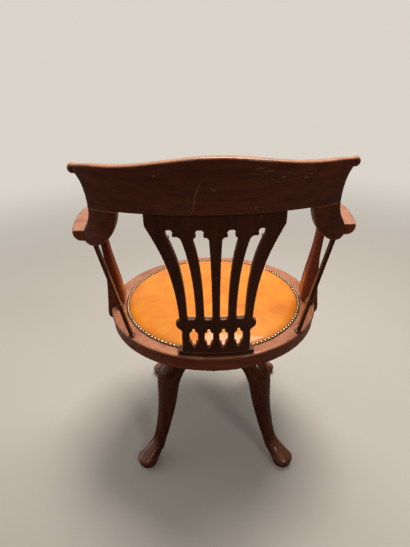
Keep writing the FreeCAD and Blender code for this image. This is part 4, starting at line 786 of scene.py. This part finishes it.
# The arms' and posts' stains are painted paler, as painted light on them.
for name, seed in (("left", 71.2), ("right", 75.8)):
    arm = worn_copy("arm_%s_worn" % name, ["arm_" + name], 0.0014, 4)
    dress(arm, mahogany("arm_mahogany_" + name, "y", seed, 1.1, 0.6), "seat", "mahogany", "arm_" + name)
    post = worn_copy("arm_post_%s_worn" % name, ["arm_post_" + name], 0.0014, 3)
    dress(post, mahogany("post_mahogany_" + name, "z", seed + 2.3, 1.3, 0.2), "seat", "mahogany",
          "arm_post_" + name)
repaint("arm_dowels", DOWEL)
repaint("post_plugs", mahogany("plug_mahogany", "x", 80.1, 0.9))


# The room: a plain pale floor, which far off takes the colour of the pale surround. Soft lamps stand
# above, behind and beside the chair, and the surround is brightest overhead and before it.

SURROUND = (0.70, 0.655, 0.595)


def stage_floor():
    """A pale floor with a soft shadow. Far off it is the colour of the surround."""
    ground = Finish("pale_floor", {"Specular IOR Level": 0.1})
    soft = ground.cloudy(ground.place(), 1.4, 2.0)
    seen = ground.make("LightPath", out="Is Camera Ray")
    pale = ground.ramp(soft, [(0.3, (0.640, 0.600, 0.545)), (0.7, (0.660, 0.620, 0.565))])
    colour = ground.blend(seen, (0.16, 0.135, 0.11), pale)
    ground.finish_with(colour, soft * 0.05 + 0.85, soft, 0.0001)
    x, y, z = ground.axes(ground.place())
    far = ((x * x + y * y) ** 0.5).step(0.9, 3.2) * seen
    haze = ground.make("Emission", {}, {"Color": SURROUND, "Strength": 1.0})
    mixed = ground.make("MixShader", {}, {0: far, 1: Number(ground, ground.shader.outputs[0]), 2: haze})
    ground.tree.links.new(mixed.socket, ground.tree.nodes["Material Output"].inputs["Surface"])
    return ground.material


bpy.ops.mesh.primitive_circle_add(vertices=96, radius=30, fill_type="NGON", location=(0, 0, 0))
floor = bpy.context.object
floor.name = "floor"
floor.data.materials.append(stage_floor())


def surround():
    """Soft light from all round, brightest overhead and before the chair, as by a pale wall."""
    world = bpy.data.worlds.new("surround")
    world.use_nodes = True
    air = world.node_tree
    light = air.nodes["Background"]
    light.inputs["Color"].default_value = (1.0, 0.95, 0.89, 1)
    way = air.nodes.new("ShaderNodeTexCoord")
    toward = air.nodes.new("ShaderNodeVectorMath")
    toward.operation = "DOT_PRODUCT"
    toward.inputs[1].default_value = (0.45, -0.75, 0.48)
    air.links.new(way.outputs["Generated"], toward.inputs[0])
    strength = air.nodes.new("ShaderNodeMapRange")
    strength.interpolation_type = "SMOOTHSTEP"
    for socket, value in (("From Min", -0.30), ("From Max", 0.80), ("To Min", 0.035), ("To Max", 0.50)):
        strength.inputs[socket].default_value = value
    air.links.new(toward.outputs["Value"], strength.inputs["Value"])
    air.links.new(strength.outputs[0], light.inputs["Strength"])
    seen = air.nodes.new("ShaderNodeBackground")
    seen.inputs["Color"].default_value = (*SURROUND, 1)
    rays = air.nodes.new("ShaderNodeLightPath")
    either = air.nodes.new("ShaderNodeMixShader")
    air.links.new(rays.outputs["Is Camera Ray"], either.inputs[0])
    air.links.new(light.outputs[0], either.inputs[1])
    air.links.new(seen.outputs[0], either.inputs[2])
    air.links.new(either.outputs[0], air.nodes["World Output"].inputs["Surface"])
    return world


scene = bpy.context.scene
scene.world = surround()


def lamp(name, place, target, width, depth, power, colour):
    """A soft rectangular lamp that points at a target."""
    data = bpy.data.lights.new(name, "AREA")
    data.shape = "RECTANGLE"
    data.size, data.size_y = width, depth
    data.energy = power
    data.color = colour
    thing = bpy.data.objects.new(name, data)
    scene.collection.objects.link(thing)
    thing.location = place
    thing.rotation_euler = (Vector(target) - Vector(place)).to_track_quat("-Z", "Y").to_euler()


lamp("ceiling_lamp", (-0.30, -0.60, 2.35), (0, 0, 0.45), 1.1, 0.8, 40, (1.0, 0.955, 0.89))
lamp("room_lamp", (-1.1, 1.7, 2.0), (0, 0.1, 0.5), 0.35, 0.35, 6, (1.0, 0.95, 0.88))
lamp("bulb", (0.45, 1.55, 1.75), (0, 0.2, 0.05), 0.16, 0.16, 1.0, (1.0, 0.97, 0.93))
lamp("pale_wall", (2.2, -0.45, 0.65), (0.2, 0.1, 0.6), 1.3, 1.3, 4.5, (0.95, 0.96, 1.0))


# The camera stands behind the chair, above its crest rail, and looks down by 28 degrees, as in the
# photo. Its place, its turn and its focal length were fitted to the ring, the nails, the feet and the rail.

PITCH, ROLL, YAW = math.radians(27.95), math.radians(-1.28), math.radians(-0.33)
EYE = Vector((0.0250, 0.9426, 1.0040))
FOCAL_PIXELS, TALL_PIXELS, SENSOR = 412, 547, 36
look = Vector((math.sin(YAW) * math.cos(PITCH), -math.cos(YAW) * math.cos(PITCH), -math.sin(PITCH)))
right = Vector((-math.cos(YAW), -math.sin(YAW), 0))
up = right.cross(look)
right, up = (math.cos(ROLL) * right + math.sin(ROLL) * up, math.cos(ROLL) * up - math.sin(ROLL) * right)
view = bpy.data.cameras.new("camera")
view.sensor_width = SENSOR
view.lens = FOCAL_PIXELS * SENSOR / TALL_PIXELS
view.clip_start = 0.02
camera = bpy.data.objects.new("camera", view)
scene.collection.objects.link(camera)
camera.matrix_world = Matrix(((right.x, up.x, -look.x, EYE.x), (right.y, up.y, -look.y, EYE.y),
                              (right.z, up.z, -look.z, EYE.z), (0, 0, 0, 1)))
scene.camera = camera
scene.view_settings.view_transform = "Standard"
